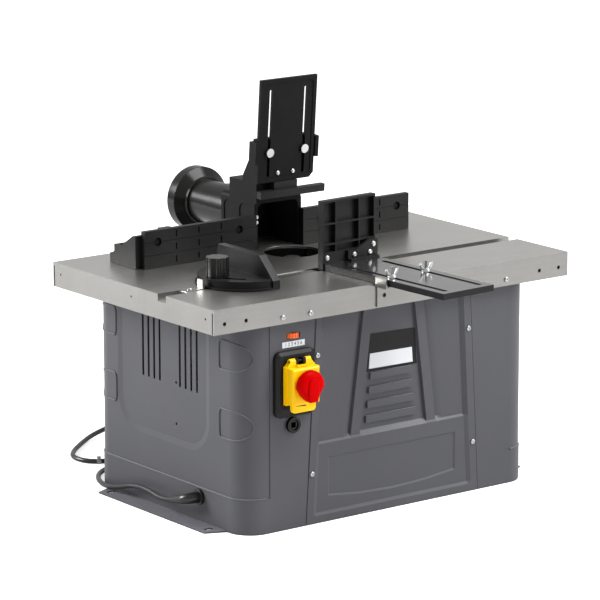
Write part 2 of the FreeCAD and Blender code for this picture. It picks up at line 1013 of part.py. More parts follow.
def shell_field(body, side):
    # The large pressed field of a side wall, sunk outside and standing in by as much inside
    backing = sketch(body, "YZ_Plane", side * (half_x - wall - d.side_field_depth))
    edge = d.shell_sheet
    outline(backing, [
        (d.side_field_rear + edge, table_under),
        (-d.side_field_front - edge, table_under),
        (-d.side_field_front - edge, d.side_field_low - edge, d.side_field_round),
        (d.side_field_rear + edge, d.side_field_low - edge, d.side_field_round),
    ])
    pad(body, backing, d.side_field_depth + d.shell_sheet / 2, side)
    field = sketch(body, "YZ_Plane", side * (half_x - d.shell_relief))
    outline(field, [
        (d.side_field_rear, table_under + d.overrun),
        (-d.side_field_front, table_under + d.overrun),
        (-d.side_field_front, d.side_field_low, d.side_field_round),
        (d.side_field_rear, d.side_field_low, d.side_field_round),
    ])
    sunk = pocket(body, field, d.side_field_depth, -side)
    bind(sunk, "TaperAngle", -d.side_field_slope)


def shell_vents(body, side):
    vents = sketch(body, "YZ_Plane", side * (half_x + d.overrun))
    for first in (d.vent_rear_y, d.vent_front_y):
        for step in range(4):
            y = first - step * d.vent_pitch
            slot(vents, (y, d.vent_bottom), (y, d.vent_top), d.vent_width)
    for z in (d.side_hole_low, d.side_hole_high):
        circle(vents, d.side_hole_y, z, d.side_hole / 2)
    pocket(body, vents, wall + d.overrun + d.overrun, -side)


def shell_openings(body):
    # Openings of the left shell for the switch, the speed dial, the height socket and the lead
    front = sketch(body, "XZ_Plane", -(half_y + d.overrun))
    reach_x = d.switch_body_width / 2
    reach_z = d.switch_body_height / 2
    rectangle(front, (d.switch_x - reach_x, d.switch_z - reach_z), (d.switch_x + reach_x, d.switch_z + reach_z))
    dial_x = d.dial_slot_width / 2
    dial_z = d.dial_slot_height / 2
    rectangle(front, (d.dial_x - dial_x, d.dial_z - dial_z), (d.dial_x + dial_x, d.dial_z + dial_z))
    circle(front, d.crank_x, d.crank_z, d.bush_radius)
    pocket(body, front, wall + d.overrun + d.overrun, 1)
    lead = sketch(body, "YZ_Plane", -(half_x + d.overrun))
    circle(lead, d.lead_y, d.lead_z, d.gland_hole)
    pocket(body, lead, wall + d.overrun + d.overrun, 1)


def pressed_panel(label, facing, shift, rows):
    # A pressed sheet lofted through rows of half-profile points (distance from the middle, depth, lean to +X)
    body = new_body(label)
    drawings = []
    for z, half in rows:
        face = [(lean + x, depth) for x, depth, lean in half]
        face += [(lean - x, depth) for x, depth, lean in reversed(half)]
        back = [(x, depth + d.panel_sheet) for x, depth in reversed(face)]
        drawing = sketch(body, "XY_Plane", z)
        outline(drawing, [(shift + x, facing * (half_y - depth)) for x, depth in face + back])
        drawings.append(drawing)
    loft = body.newObject("PartDesign::AdditiveLoft", label + "_loft")
    loft.Profile = drawings[0]
    loft.Sections = drawings[1:]
    loft.Ruled = True
    holes = sketch(body, "XZ_Plane", facing * (half_y + d.overrun))
    for x, z in panel_screw_places(shift):
        circle(holes, x, z, d.screw_shank)
    pocket(body, holes, d.overrun + d.overrun, -facing)
    return body


def front_row(z, rib_inner, band, rib, deep):
    # Frame, side band, ramp into a groove, rib and middle field, from the seam inwards
    seam = seam_half(z)
    field = seam - d.panel_frame
    rib_outer = rib_inner + d.rib_width
    flat = as_size(0)
    return (z, [
        (seam, flat, flat),
        (field, flat, flat),
        (field - d.field_step, band, flat),
        (rib_outer + d.rib_ramp, band, d.rib_shift),
        (rib_outer + d.rib_wall, deep, d.rib_shift),
        (rib_outer, rib, d.rib_shift),
        (rib_inner, rib, d.rib_shift),
        (rib_inner - d.rib_wall, deep, d.rib_shift),
    ])


def front_panel():
    flat = as_size(0)
    low = d.lower_depth
    upper_low = d.upper_field_low
    ledge_low = upper_low - d.ledge_height
    partway = low + (d.plateau_depth - low) * d.band_ledge / d.ledge_height
    body = pressed_panel("front_panel", -1, d.panel_shift, [
        front_row(d.base_sheet, d.rib_foot_low, flat, flat, flat),
        front_row(d.lower_field_low - d.lower_ledge, d.rib_foot_low, flat, flat, flat),
        front_row(d.lower_field_low, d.rib_foot_low, low, low, low),
        front_row(ledge_low, d.rib_foot_low, low, low, low),
        front_row(ledge_low + d.band_ledge, d.rib_foot_low, d.band_depth, d.rib_depth, partway),
        front_row(upper_low, d.rib_foot_low, d.band_depth, d.rib_depth, d.plateau_depth),
        front_row(table_under, d.rib_foot_top, d.band_depth, d.rib_depth, d.plateau_depth),
    ])
    ribs = sketch(body, "XZ_Plane", d.plateau_depth + d.panel_sheet / 2 - half_y)
    for step in range(4):
        z = d.louvre_first + step * d.louvre_pitch
        reach = d.louvre_half_low - step * d.louvre_taper
        rise = d.louvre_height / 2
        rectangle(ribs, (d.panel_shift - reach, z - rise), (d.panel_shift + reach, z + rise), d.louvre_corner)
    pad(body, ribs, d.louvre_proud + d.panel_sheet / 2, -1)
    backing = sketch(body, "XZ_Plane", low + d.panel_sheet / 2 - half_y)
    emboss_outline(backing, d.panel_sheet)
    pad(body, backing, d.panel_sheet / 2 + d.emboss_depth, 1)
    frame = sketch(body, "XZ_Plane", low - half_y)
    emboss_outline(frame, as_size(0))
    sunk = pocket(body, frame, d.emboss_depth, 1)
    bind(sunk, "TaperAngle", -d.emboss_slope)


def emboss_outline(drawing, margin):
    # The sunk field near the foot of the front panel, with a bowed lower edge
    left = d.panel_shift - d.emboss_half - margin
    right = d.panel_shift + d.emboss_half + margin
    low = d.emboss_low - margin
    high = d.emboss_high + margin
    outline(drawing, [
        (left, low),
        ((left + d.panel_shift) / 2, low - d.emboss_bow * EMBOSS_BOW_SHARE),
        (d.panel_shift, low - d.emboss_bow),
        ((right + d.panel_shift) / 2, low - d.emboss_bow * EMBOSS_BOW_SHARE),
        (right, low),
        (right, high),
        (left, high),
    ])


def rear_panel():
    flat = as_size(0)
    rows = []
    for z, depth in (
        (d.base_sheet, flat),
        (d.rear_field_low, flat),
        (d.rear_field_low + d.lower_ledge, d.rear_field_depth),
        (d.rear_field_high - d.lower_ledge, d.rear_field_depth),
        (d.rear_field_high, flat),
        (table_under, flat),
    ):
        field = seam_half(z) - d.panel_frame
        half = [(seam_half(z), flat, flat), (field, flat, flat), (field - d.field_step, depth, flat)]
        rows.append((z, half))
    pressed_panel("rear_panel", 1, as_size(0), rows)


def cabinet_screws():
    body = new_body("cabinet_screws")
    for facing, shift in ((-1, d.panel_shift), (1, as_size(0))):
        for x, z in panel_screw_places(shift):
            pan_screw(body, (x, facing * half_y, z), "Y", toward=-facing)
        for x, z in skirt_screw_places():
            pan_screw(body, (x, facing * d.table_depth / 2, z), "Y", toward=-facing)


def table_top():
    body = new_body("table_top")
    edge_x = d.table_length / 2
    edge_y = d.table_depth / 2
    block(body, (-edge_x, -edge_y, skirt_bottom), (edge_x, edge_y, d.table_height))
    inner_x = edge_x - d.table_sheet
    inner_y = edge_y - d.table_sheet
    block(body, (-inner_x, -inner_y, skirt_bottom - d.overrun), (inner_x, inner_y, table_under), cut=True)
    groove_half = d.groove_width / 2
    groove_floor = d.table_height - d.groove_depth
    channel_half = groove_half + d.table_sheet
    block(body, (-edge_x, d.groove_y - channel_half, groove_floor - d.table_sheet),
          (edge_x, d.groove_y + channel_half, d.table_height))
    rod(body, (as_size(0), d.spindle_y, table_under - d.insert_ledge_sheet),
        d.insert_radius + d.insert_ledge, d.insert_ledge_sheet + d.table_sheet)
    block(body, (-edge_x - d.overrun, d.groove_y - groove_half, groove_floor),
          (edge_x + d.overrun, d.groove_y + groove_half, d.table_height + d.overrun), cut=True)
    rod(body, (as_size(0), d.spindle_y, table_under), d.insert_radius, d.table_sheet + d.overrun, cut=True)
    rod(body, (as_size(0), d.spindle_y, skirt_bottom), d.insert_radius - d.insert_ledge,
        d.skirt_height + d.overrun, cut=True)
    table_slots(body)
    for side in (-1, 1):
        for end in (-1, 1):
            y = end * (edge_y - d.table_sheet - d.corner_slit)
            block(body, (side * (edge_x + d.overrun), y, skirt_bottom - d.overrun),
                  (side * inner_x, y + end * d.corner_slit, table_under - d.corner_slit), cut=True)


def table_slots(body):
    # Slots for the fence studs and the holes of the skirts
    studs = sketch(body, "XY_Plane", d.table_height + d.overrun)
    middle = hood_front + d.knob_back
    for side in (-1, 1):
        start = (side * d.knob_x, middle - d.fence_forward - d.slide_gap)
        end = (side * d.knob_x, middle + d.fence_backward + d.slide_gap)
        slot(studs, start, end, d.stud_radius * 2 + d.slide_gap * 2)
    pocket(body, studs, d.table_sheet + d.overrun + d.overrun, -1)
    front = sketch(body, "XZ_Plane", -(d.table_depth / 2 + d.overrun))
    for side in (-1, 1):
        outer = d.table_length / 2 - d.skirt_hole_inset
        for x in (outer, outer - d.skirt_hole_pitch):
            circle(front, side * x, d.table_height - d.skirt_hole_drop, d.skirt_hole / 2)
    for x in (d.bracket_left_x + d.bracket_hole_inset, d.bracket_right_x - d.bracket_hole_inset):
        circle(front, x, d.table_height - d.bracket_hole_drop, d.bracket_hole)
    pocket(body, front, d.table_sheet + d.overrun + d.overrun, 1)
    both = sketch(body, "XZ_Plane", -(d.table_depth / 2 + d.overrun))
    for x, z in skirt_screw_places():
        circle(both, x, z, d.screw_shank)
    pocket(body, both, d.table_depth + d.overrun + d.overrun, 1)
    ends = sketch(body, "YZ_Plane", -(d.table_length / 2 + d.overrun))
    end_y = d.table_depth / 2 - d.end_hole_inset
    for y in (-end_y, as_size(0), end_y):
        circle(ends, y, d.table_height - d.end_hole_drop, d.end_hole / 2)
    pocket(body, ends, d.table_length + d.overrun + d.overrun, 1)


def table_rails():
    # Angle strips that carry the skirts on the cabinet
    body = new_body("table_rails")
    outer = d.table_depth / 2 - d.table_sheet
    for end in (-1, 1):
        section = sketch(body, "YZ_Plane", -d.rail_half_length)
        outline(section, [
            (end * outer, skirt_bottom),
            (end * half_y, skirt_bottom),
            (end * half_y, skirt_bottom + d.rail_sheet),
            (end * (outer - d.rail_sheet), skirt_bottom + d.rail_sheet),
            (end * (outer - d.rail_sheet), skirt_bottom + d.rail_leg),
            (end * outer, skirt_bottom + d.rail_leg),
        ])
        pad(body, section, d.rail_half_length * 2, 1)
    holes = sketch(body, "XZ_Plane", -(d.table_depth / 2 + d.overrun))
    for x, z in skirt_screw_places():
        circle(holes, x, z, d.screw_shank)
    pocket(body, holes, d.table_depth + d.overrun + d.overrun, 1)


def table_insert():
    body = new_body("table_insert", (0, d.spindle_y, 0))
    rod(body, (0, 0, table_under), d.insert_radius - d.slide_gap, d.table_sheet)
    rod(body, (0, 0, table_under - d.overrun), d.insert_bore, d.table_sheet + d.overrun * 2, cut=True)


def switch_frame(label):
    return new_body(label, (d.switch_x, -half_y, d.switch_z))


def switch_box():
    body = switch_frame("switch_box")
    half_w = d.switch_width / 2
    half_h = d.switch_height / 2
    plate = sketch(body, "XZ_Plane")
    rectangle(plate, (-half_w, -half_h), (half_w, half_h), d.switch_corner)
    pad(body, plate, d.switch_plate, -1)
    soften(body, d.switch_slope, lambda e: abs(e.BoundBox.YMax + number(d.switch_plate)) < 1e-4, "Chamfer")
    reach_x = d.switch_body_width / 2
    reach_z = d.switch_body_height / 2
    block(body, (-reach_x, -d.switch_plate / 2, -reach_z), (reach_x, d.switch_body_depth, reach_z))
    ear_y = -(d.hinge_depth + d.hinge_eye)
    for side in (-1, 1):
        block(body, (side * d.ear_inner, ear_y, d.hinge_height - d.hinge_eye),
              (side * (d.ear_inner + d.ear_width), -d.switch_plate / 2, d.hinge_height + d.hinge_eye))
    pin_half = d.ear_inner + d.ear_width + d.lug_width
    rod(body, (-pin_half, -d.hinge_depth, d.hinge_height), d.hinge_pin, pin_half * 2, "X")
    well = sketch(body, "XZ_Plane", -d.switch_plate)
    reach = d.button_width / 2 + d.button_gap
    rise = d.button_height / 2 + d.button_gap
    rectangle(well, (d.start_button_x - reach, -rise), (reach, rise))
    pocket(body, well, d.well_depth, 1)


def switch_cover():
    body = switch_frame("switch_cover")
    wall_in = d.cover_wall
    cup = sketch(body, "XZ_Plane", -d.cover_back)
    half = d.cover_half_width
    rectangle(cup, (-half, d.cover_bottom), (half, d.cover_top))
    pad(body, cup, d.cover_rim, -1)
    face_half = half - d.cover_step
    face_low = d.cover_bottom + d.cover_step
    face_high = d.cover_top - d.cover_step
    face = sketch(body, "XZ_Plane", -d.cover_back)
    rectangle(face, (-face_half, face_low), (face_half, face_high))
    pad(body, face, d.cover_front - d.cover_back, -1)
    soften(body, d.cover_slope, lambda e: abs(e.BoundBox.YMax + number(d.cover_front)) < 1e-4, "Chamfer")
    lip = sketch(body, "XZ_Plane", d.lip_sheet - d.lip_front)
    outline(lip, [
        (-d.lip_half, d.cover_bottom - d.lip_drop, d.lip_corner),
        (d.lip_half, d.cover_bottom - d.lip_drop, d.lip_corner),
        (d.lip_half, face_low + wall_in / 2),
        (-d.lip_half, face_low + wall_in / 2),
    ])
    pad(body, lip, d.lip_sheet, -1)
    hollow = sketch(body, "XZ_Plane", -d.cover_back)
    rectangle(hollow, (wall_in - face_half, face_low + wall_in), (face_half - wall_in, face_high - wall_in))
    pocket(body, hollow, d.cover_front - d.cover_back - wall_in, -1)
    inner = d.ear_inner + d.ear_width + d.slide_gap
    for side in (-1, 1):
        lug = sketch(body, "XZ_Plane", -d.cover_back)
        outline(lug, [
            (side * inner, d.cover_top - wall_in / 2),
            (side * (inner + d.lug_foot), d.cover_top - wall_in / 2),
            (side * (inner + d.lug_foot), d.cover_top),
            (side * (inner + d.lug_width), d.hinge_height),
            (side * inner, d.hinge_height),
        ])
        pad(body, lug, d.hinge_depth + d.hinge_eye - d.cover_back, -1)
        start = inner if side > 0 else -inner - d.lug_width
        rod(body, (start, -d.hinge_depth, d.hinge_height), d.hinge_eye, d.lug_width, "X")
    span = inner + d.lug_foot + d.overrun
    rod(body, (-span, -d.hinge_depth, d.hinge_height), d.hinge_pin + d.run_gap, span * 2, "X", cut=True)
    rod(body, (0, -d.cover_front - d.overrun, d.mushroom_lift), d.stem_radius + d.run_gap,
        d.overrun + wall_in * 2, "Y", cut=True)


def stop_mushroom():
    body = new_body("stop_mushroom", (d.switch_x, -half_y, d.switch_z + d.mushroom_lift))
    section = sketch(body, "XY_Plane")
    outline(section, [
        (as_size(0), -d.stem_inner),
        (d.stem_radius, -d.stem_inner),
        (d.stem_radius, -d.mushroom_back),
        (d.mushroom_radius, -d.mushroom_back),
        (d.mushroom_radius, -d.mushroom_rim),
        (d.mushroom_radius * d.mushroom_top_share, -d.mushroom_front),
        (as_size(0), -d.mushroom_front),
    ])
    revolve(body, section)
    grip = sketch(body, "XZ_Plane", -d.mushroom_rim)
    slot(grip, (as_size(0), -d.grip_half), (as_size(0), d.grip_half), d.grip_width)
    pad(body, grip, d.mushroom_front - d.mushroom_rim + d.grip_proud, -1)


def push_button(label, x):
    body = switch_frame(label)
    front = d.switch_plate + d.button_proud
    block(body, (x - d.button_width / 2 + d.button_gap / 2, -front, -d.button_height / 2),
          (x + d.button_width / 2 - d.button_gap / 2, d.button_depth - front, d.button_height / 2))


def speed_dial():
    body = new_body("speed_dial", (d.dial_x, d.dial_setback - half_y, d.dial_z))
    rod(body, (0, 0, -d.dial_width / 2), d.dial_radius, d.dial_width)
    rod(body, (0, 0, -d.dial_width), d.dial_pin + d.run_gap, d.dial_width * 2, cut=True)
    notch = rod(body, (d.dial_radius, 0, -d.dial_width), d.dial_knurl, d.dial_width * 2, cut=True)
    around(body, notch, 16)


def dial_bracket():
    body = new_body("dial_bracket", (d.dial_x, d.dial_setback - half_y, d.dial_z))
    front = wall - d.dial_setback
    rise = d.dial_width / 2 + d.slide_gap + d.dial_case_wall
    block(body, (-d.dial_case_half, front, -rise), (d.dial_case_half, front + d.dial_case_depth, rise))
    gap = d.dial_width / 2 + d.slide_gap
    rod(body, (0, 0, -gap), d.dial_radius + d.slide_gap * 2, gap * 2, cut=True)
    rod(body, (0, 0, -rise), d.dial_pin, rise * 2)


def height_bush():
    body = new_body("height_bush", (d.crank_x, -half_y, d.crank_z))
    rod(body, (0, -d.bush_flange_height, 0), d.bush_flange, d.bush_flange_height, "Y")
    rod(body, (0, 0, 0), d.bush_radius, d.bush_length, "Y")
    rod(body, (0, -d.bush_flange_height - d.overrun, 0), d.crank_radius + d.run_gap,
        d.bush_flange_height + d.bush_length + d.overrun * 2, "Y", cut=True)


def height_shaft():
    body = new_body("height_shaft", (d.crank_x, 0, d.crank_z))
    start = d.crank_setback - half_y - d.bush_flange_height
    rod(body, (0, start, 0), d.crank_radius, d.crank_end_y - start, "Y")
    block(body, (-d.socket_half, start - d.overrun, -d.socket_half),
          (d.socket_half, start + d.socket_depth, d.socket_half), cut=True)


def bevel_wheel(label, bore, turn=None):
    # Apex of the pitch cone at the crossing of the two shafts, wide end away from it
    body = new_body(label, (d.crank_x, d.screw_y, d.crank_z), turn)
    wide = d.bevel_radius - d.bevel_gap
    narrow = d.bevel_radius - d.bevel_face - d.bevel_gap
    cone(body, (0, 0, -d.bevel_radius), wide, narrow, d.bevel_face)
    rod(body, (0, 0, -d.bevel_radius - d.bevel_hub), d.bevel_radius - d.bevel_face + d.bevel_tooth, d.bevel_hub)
    rod(body, (0, 0, -d.bevel_radius * 2), bore, d.bevel_radius * 2, cut=True)
    gullet = block(body, (-d.bevel_tooth / 2, 0, 0), (d.bevel_tooth / 2, d.bevel_radius, d.bevel_tooth), cut=True)
    place(gullet, (-d.bevel_tooth / 2, d.bevel_radius + d.bevel_tooth, -d.bevel_radius - d.bevel_tooth),
          ((1, 0, 0), 135))
    around(body, gullet, 16)


def lead_screw():
    body = new_body("lead_screw", (d.crank_x, d.screw_y, 0))
    rod(body, (0, 0, d.lead_bottom), d.lead_radius, d.lead_top - d.lead_bottom)
    rod(body, (0, 0, d.post_seat + d.slide_gap), d.collar_radius, d.collar_height)


def screw_block():
    body = new_body("screw_block", (d.crank_x, 0, 0))
    arm_end = d.post_arm_y + d.post_arm_width
    block(body, (-d.post_half, d.post_arm_y, d.base_sheet),
          (d.post_half, d.screw_y + d.post_half, d.base_sheet + d.post_arm_width))
    block(body, (-d.post_half, d.screw_y - d.post_half, d.base_sheet),
          (d.post_half, d.screw_y + d.post_half, d.post_seat))
    block(body, (-d.post_half, d.post_arm_y, d.base_sheet), (d.post_half, arm_end, d.crank_z + d.post_arm_high))
    rod(body, (0, d.screw_y, d.lead_bottom - d.slide_gap), d.lead_radius + d.run_gap, d.post_seat, cut=True)
    rod(body, (0, d.post_arm_y - d.overrun, d.crank_z), d.crank_radius + d.run_gap,
        d.post_arm_width + d.overrun * 2, "Y", cut=True)


def guide_columns():
    body = new_body("guide_columns", (d.column_x, d.spindle_y, 0))
    for side in (-1, 1):
        rod(body, (0, side * d.column_spread, d.base_sheet), d.column_radius, table_under - d.base_sheet)


def motor_carriage():
    body = new_body("motor_carriage", (0, d.spindle_y, d.carriage_low))
    bridge = d.column_spread + d.bearing_sleeve
    rod(body, (0, 0, 0), d.motor_radius + d.carriage_ring, d.carriage_height)
    block(body, (d.column_x - d.bearing_sleeve, -bridge, 0), (as_size(0), bridge, d.carriage_height))
    block(body, (d.crank_x, -d.arm_half, 0), (d.column_x, d.arm_half, d.carriage_height))
    rod(body, (d.crank_x, 0, 0), d.nut_radius, d.carriage_height)
    for side in (-1, 1):
        at = (d.column_x, side * d.column_spread, -d.sleeve_extra)
        rod(body, at, d.bearing_sleeve, d.carriage_height + d.sleeve_extra * 2)
    for side in (-1, 1):
        at = (d.column_x, side * d.column_spread, -d.sleeve_extra - d.overrun)
        rod(body, at, d.column_radius + d.run_gap, (d.carriage_height + d.sleeve_extra) * 2, cut=True)
    rod(body, (0, 0, -d.overrun), d.motor_radius, d.carriage_height + d.overrun * 2, cut=True)
    rod(body, (d.crank_x, 0, -d.overrun), d.lead_radius + d.run_gap, d.carriage_height + d.overrun * 2, cut=True)


def motor_housing():
    body = new_body("motor_housing", (0, d.spindle_y, 0))
    lip = d.shaft_radius + d.bearing_lip
    boss = d.bearing_outer + d.motor_wall
    roof = d.motor_high - d.motor_wall
    floor = d.motor_low + d.motor_wall
    inner = d.motor_radius - d.motor_wall
    section = sketch(body, "XZ_Plane")
    outline(section, [
        (lip, d.motor_low),
        (d.motor_radius, d.motor_low),
        (d.motor_radius, d.motor_high),
        (d.nose_radius, d.motor_high),
        (d.nose_radius, d.nose_high),
        (lip, d.nose_high),
        (lip, d.nose_high - d.bearing_lip),
        (d.bearing_outer, d.nose_high - d.bearing_lip),
        (d.bearing_outer, roof),
        (inner, roof),
        (inner, floor),
        (boss, floor),
        (boss, floor + d.bearing_width),
        (d.bearing_outer, floor + d.bearing_width),
        (d.bearing_outer, d.motor_low + d.bearing_lip),
        (lip, d.motor_low + d.bearing_lip),
    ])
    revolve(body, section)
    top = roof - d.motor_wall
    vent = block(body, (d.motor_radius - d.motor_wall * 2, -d.motor_slot_width / 2, top - d.motor_slot_height),
                 (d.motor_radius + d.overrun, d.motor_slot_width / 2, top), cut=True)
    around(body, vent, 10)


def spindle_bearings():
    body = new_body("spindle_bearings", (0, d.spindle_y, 0))
    lows = (d.motor_low + d.bearing_lip, d.nose_high - d.bearing_lip - d.bearing_width)
    for low in lows:
        rod(body, (0, 0, low), d.bearing_outer, d.bearing_width)
    for low in lows:
        rod(body, (0, 0, low - d.bearing_lip), d.shaft_radius + d.run_gap,
            d.bearing_width + d.bearing_lip * 2, cut=True)


def spindle():
    body = new_body("spindle", (0, d.spindle_y, 0))
    rod(body, (0, 0, d.shaft_low), d.shaft_radius, d.shaft_high - d.shaft_low)
    rod(body, (0, 0, d.core_low), d.core_radius, d.core_high - d.core_low)
    rod(body, (0, 0, d.core_low - d.commutator_height), d.commutator_radius, d.commutator_height)


def cooling_fan():
    body = new_body("cooling_fan", (0, d.spindle_y, d.fan_low))
    rod(body, (0, 0, 0), d.fan_radius, d.fan_disc)
    rod(body, (0, 0, 0), d.fan_hub, d.fan_height)
    rod(body, (0, 0, -d.overrun), d.shaft_radius, d.fan_height + d.overrun * 2, cut=True)
    blade = block(body, (d.fan_hub - d.fan_blade, -d.fan_blade / 2, d.fan_disc / 2),
                  (d.fan_radius - d.fan_blade, d.fan_blade / 2, d.fan_height))
    around(body, blade, 8)


def collet_nut():
    body = new_body("collet_nut", (0, d.spindle_y, 0))
    rod(body, (0, 0, d.collet_low), d.collet_radius, d.collet_high - d.collet_low)
    top = number(d.collet_high)
    soften(body, d.collet_chamfer, lambda e: e.BoundBox.ZMin > top - 1e-4, "Chamfer")
    for side in (-1, 1):
        block(body, (side * d.collet_flat, -d.collet_radius, d.collet_low - d.overrun),
              (side * (d.collet_radius + d.overrun), d.collet_radius, d.collet_high + d.overrun), cut=True)
    rod(body, (0, 0, d.collet_low - d.overrun), d.shaft_radius, d.shaft_high - d.collet_low + d.overrun, cut=True)
    rod(body, (0, 0, d.collet_high - d.collet_bore_depth), d.collet_bore,
        d.collet_bore_depth + d.overrun, cut=True)


def fence_hood():
    body = new_body("fence_hood", (0, 0, d.table_height))
    shape = sketch(body, "XZ_Plane", hood_front)
    outline(shape, [
        (-d.hood_half, d.slide_gap),
        (d.hood_half, d.slide_gap),
        (d.hood_half, d.hood_height, d.hood_round),
        (-d.hood_half, d.hood_height, d.hood_round),
    ])
    pad(body, shape, d.hood_depth, 1)
    seat_front = hood_front - d.seat_overhang
    block(body, (d.seat_shift - d.seat_half, seat_front, d.hood_height - d.hood_round),
          (d.seat_shift + d.seat_half, seat_front + d.seat_depth, d.hood_height + d.seat_height))
    inner = d.hood_half - d.hood_wall
    mouth = sketch(body, "XZ_Plane", seat_front - d.overrun)
    outline(mouth, [
        (-inner, -d.overrun),
        (inner, -d.overrun),
        (inner, d.hood_height - d.hood_roof, d.hood_round),
        (-inner, d.hood_height - d.hood_roof, d.hood_round),
    ])
    pocket(body, mouth, d.hood_depth - d.hood_back_wall + d.seat_overhang + d.overrun, 1)
    rod(body, (0, hood_front + d.hood_depth - d.hood_back_wall - d.overrun, d.port_height),
        d.port_radius - d.port_wall, d.hood_back_wall + d.overrun * 2, "Y", cut=True)
    panel = (d.hood_depth - d.arch_margin * 2 - d.arch_gap) / 2
    for side in (-1, 1):
        arches = sketch(body, "YZ_Plane", side * (d.hood_half + d.overrun))
        for step in range(2):
            start = hood_front + d.arch_margin + step * (panel + d.arch_gap)
            outline(arches, [
                (start, d.arch_margin),
                (start + panel, d.arch_margin),
                (start + panel, d.arch_top, panel / 3),
                (start, d.arch_top, panel / 3),
            ])
        pocket(body, arches, d.overrun + d.arch_relief, -side)


def dust_port():
    body = new_body("dust_port", (0, hood_front + d.hood_depth, d.table_height + d.port_height))
    inner = d.port_radius - d.port_wall
    end = d.port_tube_length + d.port_rim_length
    section = sketch(body, "XY_Plane")
    groove = d.port_radius - d.port_groove_depth
    groove_end = d.port_collar_length + d.port_groove
    flare_start = d.port_tube_length - d.port_flare
    outline(section, [
        (inner, as_size(0)),
        (d.port_collar, as_size(0)),
        (d.port_collar, d.port_collar_length),
        (groove, d.port_collar_length),
        (groove, groove_end),
        (d.port_radius, groove_end),
        (d.port_radius, flare_start - d.port_bead_length),
        (d.port_bead, flare_start - d.port_bead_length),
        (d.port_bead, flare_start),
        (d.port_rim_radius, d.port_tube_length),
        (d.port_rim_radius, end),
        (inner, end),
    ])
    revolve(body, section)


def board_screw_places(side):
    inner = d.board_right_end if side > 0 else d.board_left_end
    outer = inner + side * d.board_length
    return [inner + side * d.board_screw_near, outer - side * d.board_screw_far]


def fence_foot(label, side):
    body = new_body(label, (0, 0, d.table_height))
    inner = side * d.hood_half
    outer = d.foot_right_x if side > 0 else -d.foot_left_x
    back = hood_front + d.foot_depth
    behind = hood_front + d.foot_wall
    block(body, (inner, hood_front, d.slide_gap), (outer, back, d.foot_slab))
    block(body, (inner, hood_front, d.slide_gap), (outer, behind, d.foot_wall_height))
    rim_start = outer - side * d.rim_inset
    rim_end = rim_start - side * d.rim_span
    rim_low = d.foot_slab / 2
    block(body, (rim_start, hood_front, rim_low), (rim_end, back, d.rim_height))
    block(body, (rim_start - side * d.rim_wall, behind, d.foot_slab - d.rim_wall),
          (rim_end + side * d.rim_wall, back - d.rim_wall, d.rim_height + d.overrun), cut=True)
    web = sketch(body, "YZ_Plane", outer)
    outline(web, [
        (hood_front, rim_low),
        (back - d.rim_wall, rim_low),
        (back - d.rim_wall, d.foot_slab),
        (behind, d.foot_wall_height),
        (hood_front, d.foot_wall_height),
    ])
    pad(body, web, d.gusset_width, -side)
    slots = sketch(body, "XZ_Plane", hood_front - d.overrun)
    for x in board_screw_places(side):
        start = (x - d.wall_slot_half, d.board_screw_high)
        slot(slots, start, (x + d.wall_slot_half, d.board_screw_high), d.wall_slot * 2)
    pocket(body, slots, d.foot_wall + d.overrun * 2, 1)
    rod(body, (side * d.knob_x, hood_front + d.knob_back, -d.overrun), d.stud_radius + d.run_gap,
        d.foot_slab + d.overrun * 2, cut=True)


def fence_board(label, side):
    body = new_body(label, (0, 0, d.table_height))
    inner = d.board_right_end if side > 0 else d.board_left_end
    outer = inner + side * d.board_length
    back = hood_front - d.slide_gap
    block(body, (inner, d.fence_face_y, d.slide_gap), (outer, back, d.board_height))
    for step in (1, 2):
        z = d.board_height * d.board_line_share * step
        block(body, (inner - side * d.overrun, d.fence_face_y - d.overrun, z),
              (outer + side * d.overrun, d.fence_face_y + d.board_line_depth, z + d.board_line), cut=True)
    dashes = sketch(body, "XZ_Plane", d.fence_face_y - d.overrun)
    for column in range(3):
        x = outer - side * (d.dash_first + column * d.dash_pitch)
        for band in range(3):
            z = d.board_height * d.board_line_share * (band + 0.5)
            rectangle(dashes, (x - d.dash_width / 2, z - d.dash_height / 2),
                      (x + d.dash_width / 2, z + d.dash_height / 2))
    pocket(body, dashes, d.overrun + d.dash_depth, 1)
    for x in board_screw_places(side):
        rod(body, (x, d.fence_face_y - d.overrun, d.board_screw_high), d.bore_wide,
            d.bore_depth + d.overrun, "Y", cut=True)
        rod(body, (x, d.fence_face_y, d.board_screw_high), d.board_screw_shank,
            d.board_depth + d.overrun, "Y", cut=True)


def board_screws(label, side):
    body = new_body(label, (0, 0, d.table_height))
    nut = hood_front + d.foot_wall + d.slide_gap
    seat = d.fence_face_y + d.bore_depth
    for x in board_screw_places(side):
        rod(body, (x, seat - d.screw_head_height, d.board_screw_high), d.board_screw_head,
            d.screw_head_height, "Y")
        rod(body, (x, seat, d.board_screw_high), d.board_screw_shank, nut - seat, "Y")
        rod(body, (x, nut, d.board_screw_high), d.board_nut, d.board_nut_height, "Y")


def lobed_head(body, low, radius, lobe, height, count):
    rod(body, (0, 0, low), radius - lobe / 2, height)
    ear = rod(body, (radius - lobe, 0, low), lobe, height)
    around(body, ear, count)


def fence_knob(label, side):
    body = new_body(label, (side * d.knob_x, hood_front + d.knob_back, d.table_height))
    low = -(d.table_sheet + d.stud_below)
    neck = d.foot_slab + d.slide_gap
    rod(body, (0, 0, low), d.stud_radius, neck - low)
    rod(body, (0, 0, low), d.knob_neck, d.stud_below / 2)
    rod(body, (0, 0, neck), d.knob_neck, d.knob_neck_height)
    lobed_head(body, neck + d.knob_neck_height, d.knob_radius, d.knob_lobe, d.knob_height, 6)


def guard_frame(label):
    return new_body(label, (0, d.guard_y, seat_top), ((1, 0, 0), d.guard_lean))


